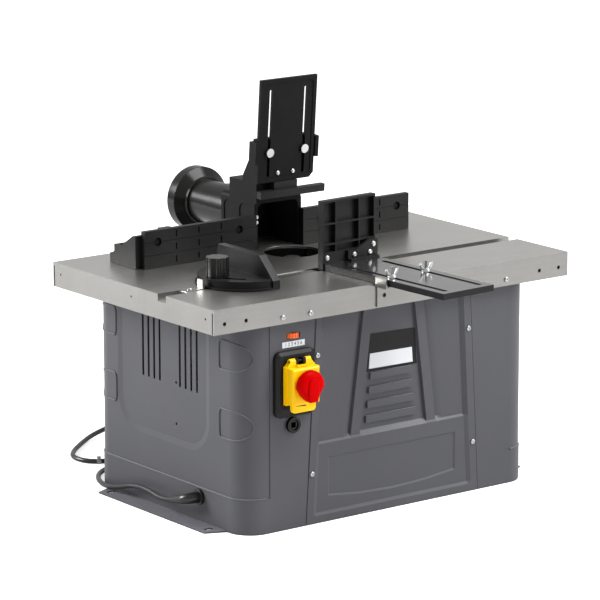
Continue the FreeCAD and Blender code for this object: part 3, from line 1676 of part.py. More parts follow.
def guard_bracket():
    # Stands on the hood seat and holds the guard plate; the foot is cut level across the lean
    body = guard_frame("guard_bracket")
    half = d.guard_width / 2 - d.slide_gap
    thick = d.bracket_thickness
    seat_left = d.seat_shift - d.seat_half
    seat_right = d.seat_shift + d.seat_half
    block(body, (-half, d.slide_gap, d.guard_low), (half, thick, d.bracket_high))
    block(body, (seat_left, d.bracket_web, -d.bracket_reach), (seat_right, d.bracket_reach, d.bracket_foot))
    for side in (-1, 1):
        near = side * (d.guard_width / 2 + d.slide_gap)
        far = near + side * d.tab_width
        block(body, (near, -d.tab_forward, d.tab_low), (far, thick, d.tab_high))
        block(body, (side * half / 2, thick - d.bracket_web, d.tab_low), (far, thick, d.tab_high))
        edge = seat_right if side > 0 else seat_left
        rib = sketch(body, "YZ_Plane", edge)
        outline(rib, [
            (thick / 2, d.bracket_foot / 2),
            (d.bracket_reach, d.bracket_foot / 2),
            (d.bracket_reach, d.bracket_foot),
            (thick, d.bracket_high),
            (thick / 2, d.bracket_high),
        ])
        pad(body, rib, d.bracket_gusset, -side)
    block(body, (-d.bracket_channel, -d.overrun, -d.bracket_reach),
          (d.bracket_channel, thick - d.bracket_web, d.bracket_high + d.overrun), cut=True)
    level = sketch(body, "YZ_Plane", -d.guard_width)
    fall = tangent(d.guard_lean)
    outline(level, [
        (-d.bracket_reach, d.bracket_reach * fall),
        (-d.bracket_reach, -d.bracket_reach * 2),
        (d.bracket_reach * 2, -d.bracket_reach * 2),
        (d.bracket_reach * 2, -(d.bracket_reach * 2 * fall)),
    ])
    pocket(body, level, d.guard_width * 2, 1)
    for side in (-1, 1):
        rod(body, (side * d.guard_slot_half, -d.overrun, d.guard_screw_z), d.guard_screw_shank,
            thick + d.overrun * 2, "Y", cut=True)


def guard_clamp_screws():
    body = guard_frame("guard_clamp_screws")
    head = -d.guard_sheet - d.slide_gap
    for side in (-1, 1):
        at = (side * d.guard_slot_half, head, d.guard_screw_z)
        rod(body, at, d.guard_screw_shank, d.bracket_thickness - head, "Y")
        rod(body, (at[0], head - d.guard_screw_height, d.guard_screw_z), d.guard_screw_head,
            d.guard_screw_height, "Y")


def guard_plate():
    body = guard_frame("guard_plate")
    half = d.guard_width / 2
    top = d.guard_low + d.guard_height
    shape = sketch(body, "XZ_Plane")
    outline(shape, [
        (-half, d.guard_low),
        (half - d.guard_cut, d.guard_low),
        (half, d.guard_low + d.guard_cut),
        (half, top),
        (-half, top),
    ])
    pad(body, shape, d.guard_sheet, -1)
    sunk = sketch(body, "XZ_Plane", -d.guard_sheet)
    rectangle(sunk, (d.guard_border - half, d.guard_low + d.guard_border),
              (half - d.guard_border, top - d.guard_border), d.guard_border)
    pocket(body, sunk, d.guard_recess, 1)
    openings = sketch(body, "XZ_Plane", d.overrun)
    for side in (-1, 1):
        x = side * d.guard_slot_half
        slot(openings, (x, d.guard_slot_low), (x, d.guard_slot_high), d.guard_slot_width)
        circle(openings, side * d.lug_screw_half, d.lug_screw_z, d.screw_shank)
    pocket(body, openings, d.guard_sheet + d.overrun * 2, -1)


def guard_shoe():
    body = guard_frame("guard_shoe")
    back = d.shoe_depth - d.shoe_forward
    bar = sketch(body, "XY_Plane", d.shoe_low)
    outline(bar, [
        (d.shoe_left, -d.shoe_forward),
        (d.shoe_right, -d.shoe_forward, d.shoe_depth / 3),
        (d.shoe_right, back, d.shoe_depth / 3),
        (d.shoe_left, back),
    ])
    pad(body, bar, d.shoe_high - d.shoe_low, 1)
    middle = (d.shoe_low + d.shoe_high) / 2
    block(body, (-d.lug_half, back - d.shoe_link, middle), (d.lug_half, d.lug_sheet, d.guard_low - d.slide_gap))
    block(body, (-d.lug_half, 0, middle), (d.lug_half, d.lug_sheet, d.lug_high))
    for side in (-1, 1):
        rod(body, (side * d.lug_screw_half, -d.overrun, d.lug_screw_z), d.screw_shank,
            d.lug_sheet + d.overrun * 2, "Y", cut=True)


def guard_shoe_screws():
    body = guard_frame("guard_shoe_screws")
    for side in (-1, 1):
        at = (side * d.lug_screw_half, d.guard_recess - d.guard_sheet, d.lug_screw_z)
        pan_screw(body, at, "Y", d.lug_screw_head)


def presser_frame(label):
    return new_body(label, (d.presser_x, d.presser_y, d.table_height), ((0, 0, 1), d.presser_turn))


def presser_screw_places():
    # One screw through the foot of the upright and three through the clip, as (x, y of the seat, z)
    foot = d.presser_back
    clip = foot - d.clip_thickness
    return [
        (d.presser_screw_edge - d.upright_width / 2, foot, d.presser_screw_low),
        (d.presser_screw_inner, clip, d.presser_screw_low),
        (d.presser_screw_outer, clip, d.presser_screw_low),
        (d.upright_width / 2 - d.presser_screw_edge, clip, d.presser_screw_high),
    ]


def presser_plate():
    body = presser_frame("presser_plate")
    half = d.presser_width / 2
    block(body, (-half, -d.presser_front, d.slide_gap), (half, d.presser_back, d.presser_thickness))
    rim = d.presser_rim
    block(body, (rim - half, rim - d.presser_front, -d.overrun),
          (half - rim, d.presser_back - rim, d.presser_thickness - d.presser_skin), cut=True)
    openings = sketch(body, "XY_Plane", d.presser_thickness + d.overrun)
    for side in (-1, 1):
        x = side * d.presser_slot_half
        slot(openings, (x, -d.presser_slot_front), (x, d.presser_slot_back), d.presser_slot_width)
    pocket(body, openings, d.presser_thickness + d.overrun * 2, -1)


def presser_upright():
    # A ribbed wall on a closed foot, with the clip that ties it to the plate
    body = presser_frame("presser_upright")
    half = d.upright_width / 2
    front = d.presser_back
    back = front + d.upright_depth
    block(body, (-half, front, d.slide_gap), (half, back, d.upright_height))
    bay_low = d.upright_base
    bay_high = d.upright_height - d.upright_rim
    columns = [half * share for share in UPRIGHT_COLUMN_SHARES]
    rows = [bay_low + (bay_high - bay_low) * share for share in UPRIGHT_ROW_SHARES]
    bays = sketch(body, "XZ_Plane", front - d.overrun)
    rib = d.upright_rib / 2
    sides = [d.upright_rim - half - rib, *columns, half - d.upright_rim + rib]
    levels = [bay_low - rib, *rows, bay_high + rib]
    for left, right in zip(sides, sides[1:]):
        for low, high in zip(levels, levels[1:]):
            rectangle(bays, (left + rib, low + rib), (right - rib, high - rib))
    pocket(body, bays, d.overrun + d.upright_depth - d.upright_skin, 1)
    clip = sketch(body, "XZ_Plane", front)
    outline(clip, [
        (d.clip_left, d.presser_thickness),
        (half, d.presser_thickness),
        (half, d.presser_thickness + d.clip_high),
        (half - d.clip_step, d.presser_thickness + d.clip_high),
        (d.clip_left + d.clip_step, d.presser_thickness + d.clip_low),
        (d.clip_left, d.presser_thickness + d.clip_low),
    ])
    pad(body, clip, d.clip_thickness, -1)
    block(body, (d.clip_left, front - d.clip_foot, d.presser_thickness),
          (d.presser_width / 2, front, d.presser_thickness + d.clip_sheet))
    for x, y, z in presser_screw_places():
        rod(body, (x, y - d.overrun, z), d.screw_shank, d.screw_length + d.overrun, "Y", cut=True)


def presser_screws():
    body = presser_frame("presser_screws")
    for place_of_screw in presser_screw_places():
        pan_screw(body, place_of_screw, "Y", d.presser_screw_head)


def wing_place(side):
    # Offset of a stud from the middle of the presser, turned with it
    reach = side * d.presser_slot_half
    return reach * cosine(d.presser_turn), reach * sine(d.presser_turn)


def presser_bracket():
    body = new_body("presser_bracket", (0, -d.table_depth / 2, d.table_height))
    top = -d.bracket_shelf_drop
    low = top - d.bracket_sheet
    left = d.bracket_left_x
    right = d.bracket_right_x
    ear = left - d.bracket_sheet / 2
    block(body, (left, -d.bracket_sheet, -d.bracket_drop), (right, as_size(0), top))
    block(body, (ear - d.bracket_sheet, -d.bracket_shelf, low), (right, as_size(0), top))
    block(body, (ear - d.bracket_sheet, -d.bracket_shelf, low), (ear, -d.bracket_sheet, d.bracket_ear))
    holes = sketch(body, "XZ_Plane", -d.bracket_sheet - d.overrun)
    for x in (left + d.bracket_hole_inset, right - d.bracket_hole_inset):
        circle(holes, x, -d.bracket_hole_drop, d.bracket_hole)
    pocket(body, holes, d.bracket_sheet + d.overrun * 2, 1)
    for side in (-1, 1):
        dx, dy = wing_place(side)
        rod(body, (d.presser_x + dx, d.presser_y + d.table_depth / 2 + dy, low), d.wing_stud,
            d.wing_stud_high - low)


def wing_nut(label, side):
    dx, dy = wing_place(side)
    low = d.presser_thickness + d.slide_gap
    body = new_body(label, (d.presser_x + dx, d.presser_y + dy, d.table_height + low))
    cone(body, (0, 0, 0), d.wing_base, d.wing_neck, d.wing_base_height)
    for way in (-1, 1):
        wing = sketch(body, "XZ_Plane", d.wing_sheet / 2)
        outline(wing, [
            (way * d.wing_stud, d.wing_low),
            (way * d.wing_base, d.wing_low),
            (way * d.wing_span, d.wing_high - d.wing_low),
            (way * (d.wing_span - d.wing_root / 2), d.wing_high),
            (way * (d.wing_span - d.wing_root), d.wing_high),
            (way * d.wing_root, d.wing_base_height),
            (way * d.wing_stud, d.wing_base_height),
        ])
        pad(body, wing, d.wing_sheet, -1)
    rod(body, (0, 0, -d.overrun), d.wing_stud + d.run_gap, d.wing_high + d.overrun * 2, cut=True)


def gauge_frame(label):
    return new_body(label, (d.gauge_x, d.groove_y, d.table_height))


def mitre_bar():
    body = gauge_frame("mitre_bar")
    half = d.groove_width / 2 - d.slide_gap
    block(body, (d.bar_left, -half, d.slide_gap - d.groove_depth), (d.bar_right, half, -d.bar_drop))
    floor = d.bar_drop + d.bar_height / 2
    rod(body, (0, 0, -floor), d.gauge_pivot, d.gauge_deck - d.gauge_flange + floor)
    rod(body, (-d.arc_radius, 0, -floor), d.arc_stud, d.gauge_deck + d.gauge_knob_height - d.bar_height + floor)
    hole = (d.pointer_left + d.pointer_right) / 2 - d.overrun
    rod(body, (hole, 0, -d.bar_drop - d.bar_height / 2), d.screw_shank, d.bar_height, cut=True)


def mitre_head():
    body = gauge_frame("mitre_head")
    rod(body, (0, 0, d.slide_gap), d.gauge_radius, d.gauge_flange - d.slide_gap)
    rod(body, (0, 0, d.slide_gap), d.gauge_radius - d.gauge_inset, d.gauge_deck - d.slide_gap)
    block(body, (0, -d.gauge_radius - d.overrun, -d.overrun),
          (d.gauge_radius + d.overrun, d.gauge_radius + d.overrun, d.gauge_deck + d.overrun), cut=True)
    face = sketch(body, "YZ_Plane")
    outline(face, [
        (-d.gauge_radius, d.slide_gap),
        (d.gauge_radius, d.slide_gap),
        (d.gauge_radius, d.gauge_end_high),
        (d.gauge_top_back, d.gauge_wall_high),
        (-d.gauge_top_front, d.gauge_wall_high),
        (-d.gauge_radius, d.gauge_end_high),
    ])
    pad(body, face, d.gauge_wall, 1)
    rod(body, (0, 0, -d.overrun), d.gauge_pivot + d.run_gap,
        d.gauge_deck - d.gauge_flange + d.slide_gap + d.overrun, cut=True)
    track = sketch(body, "XZ_Plane")
    rectangle(track, (-d.arc_radius - d.arc_width / 2, -d.overrun),
              (d.arc_width / 2 - d.arc_radius, d.gauge_deck + d.overrun))
    arc_slot = revolve(body, track, cut=True)
    arc_slot.Midplane = True
    bind(arc_slot, "Angle", d.gauge_swing * 2 + d.arc_width * 2)


def mitre_knob():
    body = new_body("mitre_knob", (d.gauge_x - d.arc_radius, d.groove_y, d.table_height))
    low = d.gauge_deck + d.slide_gap
    lobed_head(body, low, d.gauge_knob_radius, d.gauge_knob_lobe, d.gauge_knob_height, 9)
    rod(body, (0, 0, low - d.overrun), d.arc_stud + d.run_gap,
        d.gauge_knob_height - d.bar_height + d.overrun * 2, cut=True)


def mitre_pointer():
    body = gauge_frame("mitre_pointer")
    half = d.pointer_width / 2
    foot = d.pointer_sheet - d.bar_drop
    block(body, (d.pointer_left, -half, -d.bar_drop), (d.pointer_right, half, foot))
    block(body, (d.pointer_right - d.pointer_sheet, -half, -d.bar_drop), (d.pointer_right, half, d.pointer_high))
    hole = (d.pointer_left + d.pointer_right) / 2 - d.overrun
    rod(body, (hole, 0, -d.bar_drop - d.bar_height / 2), d.screw_shank, d.bar_height / 2 + d.pointer_sheet)
    rod(body, (hole, 0, foot), d.pointer_screw, d.screw_head_height / 2)
    cone(body, (hole, 0, foot + d.screw_head_height / 2), d.pointer_screw, d.pointer_screw * d.dome_share,
         d.screw_head_height / 2)


def vector(*values):
    return FreeCAD.Vector(*[number(v) for v in values])


def relief_way():
    # The strain relief leaves the shell sideways, bends to the back and runs on downhill
    gland = vector(-half_x - d.gland_height, d.lead_y, d.lead_z)
    out = FreeCAD.Vector(-1, 0, 0)
    slope = math.radians(number(d.relief_drop))
    along = FreeCAD.Vector(0, math.cos(slope), -math.sin(slope))
    bend = number(d.relief_bend)
    first = gland + out * number(d.relief_straight)
    centre = first + along * bend
    middle = centre + (out - along) * (bend / math.sqrt(2))
    last = first + (out + along) * bend
    end = last + along * number(d.relief_run)
    return gland, first, middle, last, end, along


def round_wire(centre, axis, radius):
    return Part.Wire(Part.makeCircle(radius, centre, axis))


def strain_relief():
    gland, first, middle, last, end, along = relief_way()
    path = Part.Wire([
        Part.LineSegment(gland, first).toShape(),
        Part.Arc(first, middle, last).toShape(),
        Part.LineSegment(last, end).toShape(),
    ])
    sweep = Part.BRepOffsetAPI.MakePipeShell(path)
    sweep.add(round_wire(gland, FreeCAD.Vector(-1, 0, 0), number(d.relief_start)))
    sweep.add(round_wire(end, along, number(d.relief_end)))
    sweep.build()
    sweep.makeSolid()
    inward = FreeCAD.Vector(1, 0, 0)
    flange = Part.makeCylinder(number(d.gland_radius), number(d.gland_height), gland, inward)
    neck_length = number(d.gland_height + wall * 2)
    neck = Part.makeCylinder(number(d.gland_hole), neck_length, gland, inward)
    add_shape("strain_relief", sweep.shape().fuse([flange, neck]).removeSplitter())


def add_shape(label, shape):
    item = doc.addObject("Part::Feature", label)
    item.Label = label
    item.Shape = shape
    nodes.append(item)


def route_wire(points):
    # Straight runs joined by tangent arcs; prints the tightest radius
    edges = []
    start = points[0]
    tightest = math.inf
    for before, corner, after in zip(points, points[1:], points[2:]):
        back = before - corner
        onward = after - corner
        turn = math.pi - back.getAngle(onward)
        reach = TANGENT_SHARE * min(back.Length, onward.Length)
        radius = reach / math.tan(turn / 2)
        tightest = min(tightest, radius)
        enter = corner + back.normalize() * reach
        leave = corner + onward.normalize() * reach
        inward = (back + onward).normalize()
        middle = corner + inward * (radius / math.cos(turn / 2) - radius)
        edges.append(Part.LineSegment(start, enter).toShape())
        edges.append(Part.Arc(enter, middle, leave).toShape())
        start = leave
    edges.append(Part.LineSegment(start, points[-1]).toShape())
    return edges, tightest


def lead_section(at, along):
    # A many-sided section as wide as the lead, square to its start
    radius = number(d.cord_radius)
    across = along.cross(FreeCAD.Vector(0, 0, 1)).normalize()
    rise = across.cross(along).normalize()
    ring = []
    for step in range(LEAD_FACETS + 1):
        angle = 2 * math.pi * (step + 0.5) / LEAD_FACETS
        ring.append(at + across * (radius * math.cos(angle)) + rise * (radius * math.sin(angle)))
    return Part.makePolygon(ring)


def add_lead(label, edges, tightest):
    path = Part.Wire(edges)
    start = edges[0].Vertexes[0].Point
    along = (edges[0].Vertexes[1].Point - start).normalize()
    section = lead_section(start, along)
    solid = path.makePipeShell([section], True, False)
    share = solid.Volume / (Part.Face(section).Area * path.Length)
    print(f"{label}: length {path.Length:.0f}, least radius {tightest:.1f}, volume share {share:.3f}")
    add_shape(label, solid)


def coil_ends():
    front = d.coil_y - d.coil_outer
    back = d.coil_y + d.coil_outer
    low = d.coil_lift + d.cord_radius
    high = low + d.coil_climb
    lead_in = d.coil_x - d.cord_radius * 2
    return vector(lead_in, front, low), vector(lead_in, back, high)


def cord_coil():
    # Half turns spiral in on the lower layer, climb once and spiral out on the upper one
    begin, finish = coil_ends()
    outer = number(d.coil_outer)
    step = number(d.coil_step)
    radii = [outer - step * i for i in (0, 1, 2, 3, 4, 3, 2, 1, 0)]
    spot = vector(d.coil_x, d.coil_y - d.coil_outer, d.coil_lift + d.cord_radius)
    edges = [Part.LineSegment(begin, spot).toShape()]
    centres = [begin, spot]
    for index, radius in enumerate(radii):
        way = 1 if index % 2 == 0 else -1
        climb = number(d.coil_climb) if index == 4 else 0
        far = spot + FreeCAD.Vector(0, way * 2 * radius, climb)
        middle = (spot + far) / 2 + FreeCAD.Vector(way * radius, 0, 0)
        bend = Part.Arc(spot, middle, far).toShape()
        edges.append(bend)
        centres.extend(bend.discretize(40))
        spot = far
    edges.append(Part.LineSegment(spot, finish).toShape())
    gap = math.inf
    for i, point in enumerate(centres):
        for other in centres[i + 40:]:
            gap = min(gap, (point - other).Length)
    print(f"cord_coil: least gap between turns {gap - 2 * number(d.cord_radius):.2f}")
    add_lead("cord_coil", edges, min(radii))


def cord_run():
    end, along = relief_way()[4:]
    begin, finish = coil_ends()
    onward = FreeCAD.Vector(-1, 0, 0)
    points = [end, end + along * number(d.relief_run)]
    points += [FreeCAD.Vector(*p) for p in LEAD_TO_COIL]
    points += [begin + onward * number(d.relief_run), begin]
    add_lead("cord_run", *route_wire(points))


def plug_end():
    return vector(d.plug_x, d.plug_y, d.plug_radius + d.plug_lift)


def cord_tail():
    begin, finish = coil_ends()
    onward = FreeCAD.Vector(-1, 0, 0)
    last = plug_end()
    points = [finish, finish + onward * number(d.relief_run)]
    points += [FreeCAD.Vector(*p) for p in COIL_TO_PLUG]
    points += [last + onward * number(d.relief_run), last]
    add_lead("cord_tail", *route_wire(points))


def cable_tie():
    body = new_body("cable_tie", (d.coil_x, d.coil_y, d.coil_lift))
    near = d.coil_outer - d.coil_step * 4 - d.cord_radius - d.tie_gap
    far = d.coil_outer + d.cord_radius + d.tie_gap
    top = d.coil_climb + d.cord_radius * 2 + d.tie_gap
    strap = d.tie_sheet
    half = d.tie_width / 2
    block(body, (near - strap, -half, -d.tie_gap - strap), (far + strap, half, top + strap))
    block(body, (near, -half - d.overrun, -d.tie_gap), (far, half + d.overrun, top), cut=True)


def plug():
    body = new_body("plug", (d.plug_x, d.plug_y, d.plug_radius + d.plug_lift))
    cone(body, (0, 0, 0), d.plug_neck, d.plug_waist, d.plug_waist_length, "X")
    rod(body, (d.plug_waist_length, 0, 0), d.plug_radius, d.plug_length, "X")
    face = d.plug_waist_length + d.plug_length
    for side in (-1, 1):
        rod(body, (face - d.plug_pin, side * d.plug_pin_spread, 0), d.plug_pin, d.plug_pin_length, "X")


base_plate()
shell_openings(shell("left_shell", -1))
shell("right_shell", 1)
front_panel()
rear_panel()
cabinet_screws()
table_top()
table_rails()
table_insert()
switch_box()
switch_cover()
stop_mushroom()
push_button("start_button", d.start_button_x)
push_button("stop_button", as_size(0))
speed_dial()
dial_bracket()
height_bush()
height_shaft()
bevel_wheel("bevel_pinion", d.crank_radius, ((1, 0, 0), -90))
bevel_wheel("bevel_gear", d.lead_radius)
lead_screw()
screw_block()
guide_columns()
motor_carriage()
motor_housing()
spindle_bearings()
spindle()
cooling_fan()
collet_nut()
fence_hood()
dust_port()
for side, name in ((-1, "left"), (1, "right")):
    fence_foot("fence_foot_" + name, side)
    fence_board("fence_board_" + name, side)
    board_screws("board_screws_" + name, side)
    fence_knob("fence_knob_" + name, side)
    wing_nut("wing_nut_" + name, side)
guard_bracket()
guard_clamp_screws()
guard_plate()
guard_shoe()
guard_shoe_screws()
presser_bracket()
presser_plate()
presser_upright()
presser_screws()
mitre_bar()
mitre_head()
mitre_knob()
mitre_pointer()
strain_relief()
cord_run()
cord_coil()
cord_tail()
cable_tie()
plug()
doc.recompute()

faults = []
for item in doc.Objects:
    if "Invalid" in item.State or "Error" in item.State:
        faults.append(f"{item.Label}: {item.State}")
for feature in cuts:
    base = feature.BaseFeature.Shape.Volume
    if base - feature.Shape.Volume < 0.1:
        faults.append(f"{feature.Label} cuts nothing")
for node in nodes:
    if node.Shape.isNull() or not node.Shape.isValid():
        faults.append(f"{node.Label} has no valid shape")
if faults:
    raise RuntimeError("; ".join(faults))

os.makedirs("parts", exist_ok=True)
for node in nodes:
    node.Shape.exportStep(f"parts/{node.Label}.step")
print(f"{len(nodes)} nodes written")
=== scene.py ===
import json
import math
import bmesh
import bpy
from mathutils import Matrix, Vector


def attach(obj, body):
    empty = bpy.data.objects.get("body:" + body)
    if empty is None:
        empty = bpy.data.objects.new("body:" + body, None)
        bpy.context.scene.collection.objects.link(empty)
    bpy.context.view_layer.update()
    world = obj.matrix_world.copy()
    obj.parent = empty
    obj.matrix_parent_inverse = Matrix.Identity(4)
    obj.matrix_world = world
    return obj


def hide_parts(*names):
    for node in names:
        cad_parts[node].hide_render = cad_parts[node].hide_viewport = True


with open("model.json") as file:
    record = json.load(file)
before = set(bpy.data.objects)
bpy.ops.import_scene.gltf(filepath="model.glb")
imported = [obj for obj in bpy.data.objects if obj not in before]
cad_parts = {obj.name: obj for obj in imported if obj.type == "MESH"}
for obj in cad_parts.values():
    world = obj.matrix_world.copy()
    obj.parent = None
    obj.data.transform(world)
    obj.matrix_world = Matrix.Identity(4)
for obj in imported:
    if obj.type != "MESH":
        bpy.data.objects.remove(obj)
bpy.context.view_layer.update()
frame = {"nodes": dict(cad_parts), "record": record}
cadNodes = frame["nodes"]
scene = bpy.context.scene
scene.view_settings.view_transform = "Standard"
mm = 0.001
print("frame loaded:", len(cadNodes), "nodes")

# camera at the photograph's angle, long lens from the front left
cameraView = {
    "place": (-3.0324, -3.9862, 1.3946),
    "right": (0.797729, -0.603014, -0.001254),
    "up": (0.134179, 0.175478, 0.975297),
    "lens": 221.115,
    "sensor": 36.0,
    "farClip": 60.0,
}


def addCamera(view):
    data = bpy.data.cameras.new("camera")
    data.lens = view["lens"]
    data.sensor_width = view["sensor"]
    data.clip_end = view["farClip"]
    seat = bpy.data.objects.new("camera", data)
    right, up = Vector(view["right"]), Vector(view["up"])
    turn = Matrix((right, up, right.cross(up))).transposed()
    seat.matrix_world = Matrix.Translation(view["place"]) @ turn.to_4x4()
    scene.collection.objects.link(seat)
    scene.camera = seat


addCamera(cameraView)
print("camera set")


# node helpers: one call makes a node, sets it and wires it
def addNode(tree, kind, feeds=None, **settings):
    node = tree.nodes.new(kind)
    for key, value in settings.items():
        setattr(node, key, value)
    for key, value in (feeds or {}).items():
        if isinstance(value, bpy.types.NodeSocket):
            tree.links.new(value, node.inputs[key])
        else:
            node.inputs[key].default_value = value
    return node


def newGroup(name, inputs, outputs):
    tree = bpy.data.node_groups.new(name, "ShaderNodeTree")
    for way, sockets in (("INPUT", inputs), ("OUTPUT", outputs)):
        for label, kind in sockets.items():
            tree.interface.new_socket(label, in_out=way, socket_type="NodeSocket" + kind)
    return tree, tree.nodes.new("NodeGroupInput").outputs


def useGroup(tree, group, feeds):
    return addNode(tree, "ShaderNodeGroup", feeds, node_tree=group).outputs


# a mix node's colour sockets share their names with its other kinds, so they go by number
mixSockets = {"share": 0, "first": 6, "second": 7, "result": 2}


def mixColour(tree, share, first, second, way="MIX"):
    feeds = {mixSockets["share"]: share, mixSockets["first"]: first, mixSockets["second"]: second}
    node = addNode(tree, "ShaderNodeMix", feeds, data_type="RGBA", blend_type=way)
    return node.outputs[mixSockets["result"]]


def sums(tree, way, first, second, clamp=False):
    feeds = {0: first, 1: second}
    return addNode(tree, "ShaderNodeMath", feeds, operation=way, use_clamp=clamp).outputs[0]


def ramp(tree, value, low, high, start=0.0, end=1.0):
    feeds = {"Value": value, "From Min": low, "From Max": high, "To Min": start, "To Max": end}
    return addNode(tree, "ShaderNodeMapRange", feeds, clamp=True).outputs["Result"]


def objectPlace(tree):
    return addNode(tree, "ShaderNodeTexCoord").outputs["Object"]


def noiseAt(tree, place, size, detail, rough=0.5):
    feeds = {"Vector": place, "Scale": size, "Detail": detail, "Roughness": rough}
    return addNode(tree, "ShaderNodeTexNoise", feeds).outputs[0]


def facingUp(tree, low, high):
    normal = addNode(tree, "ShaderNodeNewGeometry").outputs["Normal"]
    upward = addNode(tree, "ShaderNodeSeparateXYZ", {"Vector": normal}).outputs["Z"]
    return ramp(tree, upward, low, high)


def grey(level):
    return (level, level, level, 1.0)


# roughness that swings round its mean with a fine and a broad noise
noiseMean = 0.5


def unevenRough(tree, given, fine, broad, fineShare):
    mixed = sums(tree, "ADD", sums(tree, "MULTIPLY", fine, fineShare),
                 sums(tree, "MULTIPLY", broad, 1.0 - fineShare))
    swing = sums(tree, "MULTIPLY", sums(tree, "SUBTRACT", mixed, noiseMean), given["Spread"])
    return sums(tree, "ADD", swing, given["Roughness"], True)


# handled finish: uneven tone over a hand's width, with a little dust on what faces up
handledLook = {
    "detail": 5.0, "rough": 0.6, "patches": (0.35, 0.7), "lying": (0.4, 0.95),
    "speckSize": 260.0, "speckDetail": 3.0, "speckRough": 0.7, "specks": (0.4, 0.75),
}


def makeHandled(look):
    tree, given = newGroup("handledTone", {
        "Base": "Color", "Shade": "Color", "Dust": "Color",
        "Size": "Float", "Unevenness": "Float", "Dusting": "Float",
    }, {"Color": "Color"})
    place = objectPlace(tree)
    patches = noiseAt(tree, place, given["Size"], look["detail"], look["rough"])
    uneven = sums(tree, "MULTIPLY", ramp(tree, patches, *look["patches"]), given["Unevenness"])
    toned = mixColour(tree, uneven, given["Base"], given["Shade"])
    specks = noiseAt(tree, place, look["speckSize"], look["speckDetail"], look["speckRough"])
    lying = sums(tree, "MULTIPLY", facingUp(tree, *look["lying"]),
                 ramp(tree, specks, *look["specks"]))
    dusting = sums(tree, "MULTIPLY", lying, given["Dusting"])
    addNode(tree, "NodeGroupOutput", {"Color": mixColour(tree, dusting, toned, given["Dust"])})
    return tree


# fine grain: orange peel on paint, spark texture on moulded plastic
grainLook = {"detail": 4.0, "rough": 0.55, "broadSize": 23.0, "broadDetail": 4.0, "fineShare": 0.5}


def makeGrain(look):
    tree, given = newGroup(
        "fineGrain", {"Size": "Float", "Roughness": "Float", "Spread": "Float"},
        {"Height": "Float", "Roughness": "Float"})
    place = objectPlace(tree)
    grain = noiseAt(tree, place, given["Size"], look["detail"], look["rough"])
    broad = noiseAt(tree, place, look["broadSize"], look["broadDetail"])
    rough = unevenRough(tree, given, grain, broad, look["fineShare"])
    addNode(tree, "NodeGroupOutput", {"Height": grain, "Roughness": rough})
    return tree


# drawn lines left by rolling, grinding or brushing; Stretch is small along the lines
brushedLook = {"size": 1.0, "detail": 5.0, "lines": (0.3, 0.7),
               "broadSize": 9.0, "broadDetail": 5.0, "fineShare": 0.6}


def makeBrushed(look):
    tree, given = newGroup(
        "brushedLines", {"Stretch": "Vector", "Roughness": "Float", "Spread": "Float"},
        {"Lines": "Float", "Height": "Float", "Roughness": "Float"})
    place = objectPlace(tree)
    feeds = {"Vector": place, "Scale": given["Stretch"]}
    drawn = addNode(tree, "ShaderNodeMapping", feeds).outputs[0]
    lines = noiseAt(tree, drawn, look["size"], look["detail"])
    broad = noiseAt(tree, place, look["broadSize"], look["broadDetail"])
    rough = unevenRough(tree, given, lines, broad, look["fineShare"])
    addNode(tree, "NodeGroupOutput", {
        "Lines": ramp(tree, lines, *look["lines"]), "Height": lines, "Roughness": rough})
    return tree


handledTone = makeHandled(handledLook)
fineGrain = makeGrain(grainLook)
brushedLines = makeBrushed(brushedLook)


def startTree(owner):
    owner.use_nodes = True
    owner.node_tree.nodes.clear()
    return owner.node_tree


def startMaterial(name):
    made = bpy.data.materials.new(name)
    tree = startTree(made)
    shader = addNode(tree, "ShaderNodeBsdfPrincipled")
    addNode(tree, "ShaderNodeOutputMaterial", {"Surface": shader.outputs[0]})
    return made, tree, shader


def handledColour(tree, look):
    feeds = {"Base": look["colour"], "Shade": look["shade"], "Dust": look["dust"],
             "Size": look["patch"], "Unevenness": look["uneven"], "Dusting": look["dusting"]}
    return useGroup(tree, handledTone, feeds)["Color"]


def wireSurface(tree, shader, look, colour, texture):
    bump = addNode(tree, "ShaderNodeBump", {
        "Strength": look["bump"], "Distance": look["bumpDepth"], "Height": texture["Height"]})
    tree.links.new(colour, shader.inputs["Base Color"])
    tree.links.new(texture["Roughness"], shader.inputs["Roughness"])
    tree.links.new(bump.outputs[0], shader.inputs["Normal"])


# how far a face has to look up to count as an upper one
upperFaces = {"low": 0.5, "high": 0.9}


# painted or moulded surface
def coatedFinish(name, look):
    made, tree, shader = startMaterial(name)
    grain = useGroup(tree, fineGrain, {
        "Size": look["grain"], "Roughness": look["rough"], "Spread": look["roughSpread"]})
    colour = handledColour(tree, look)
    # painted light: faces that look up have their colour multiplied by a lighter factor
    if "topLightPaint" in look:
        paintedTopLight = mixColour(tree, 1.0, colour, look["topLightPaint"], "MULTIPLY")
        colour = mixColour(tree, facingUp(tree, **upperFaces), colour, paintedTopLight)
    wireSurface(tree, shader, look, colour, grain)
    if "specular" in look:
        shader.inputs["Specular IOR Level"].default_value = look["specular"]
    if "topCoat" in look:
        coat = sums(tree, "MULTIPLY", facingUp(tree, **upperFaces), look["topCoat"])
        tree.links.new(coat, shader.inputs["Coat Weight"])
        shader.inputs["Coat Roughness"].default_value = look["coatRough"]
        shader.inputs["Coat IOR"].default_value = look["coatIor"]
    return made


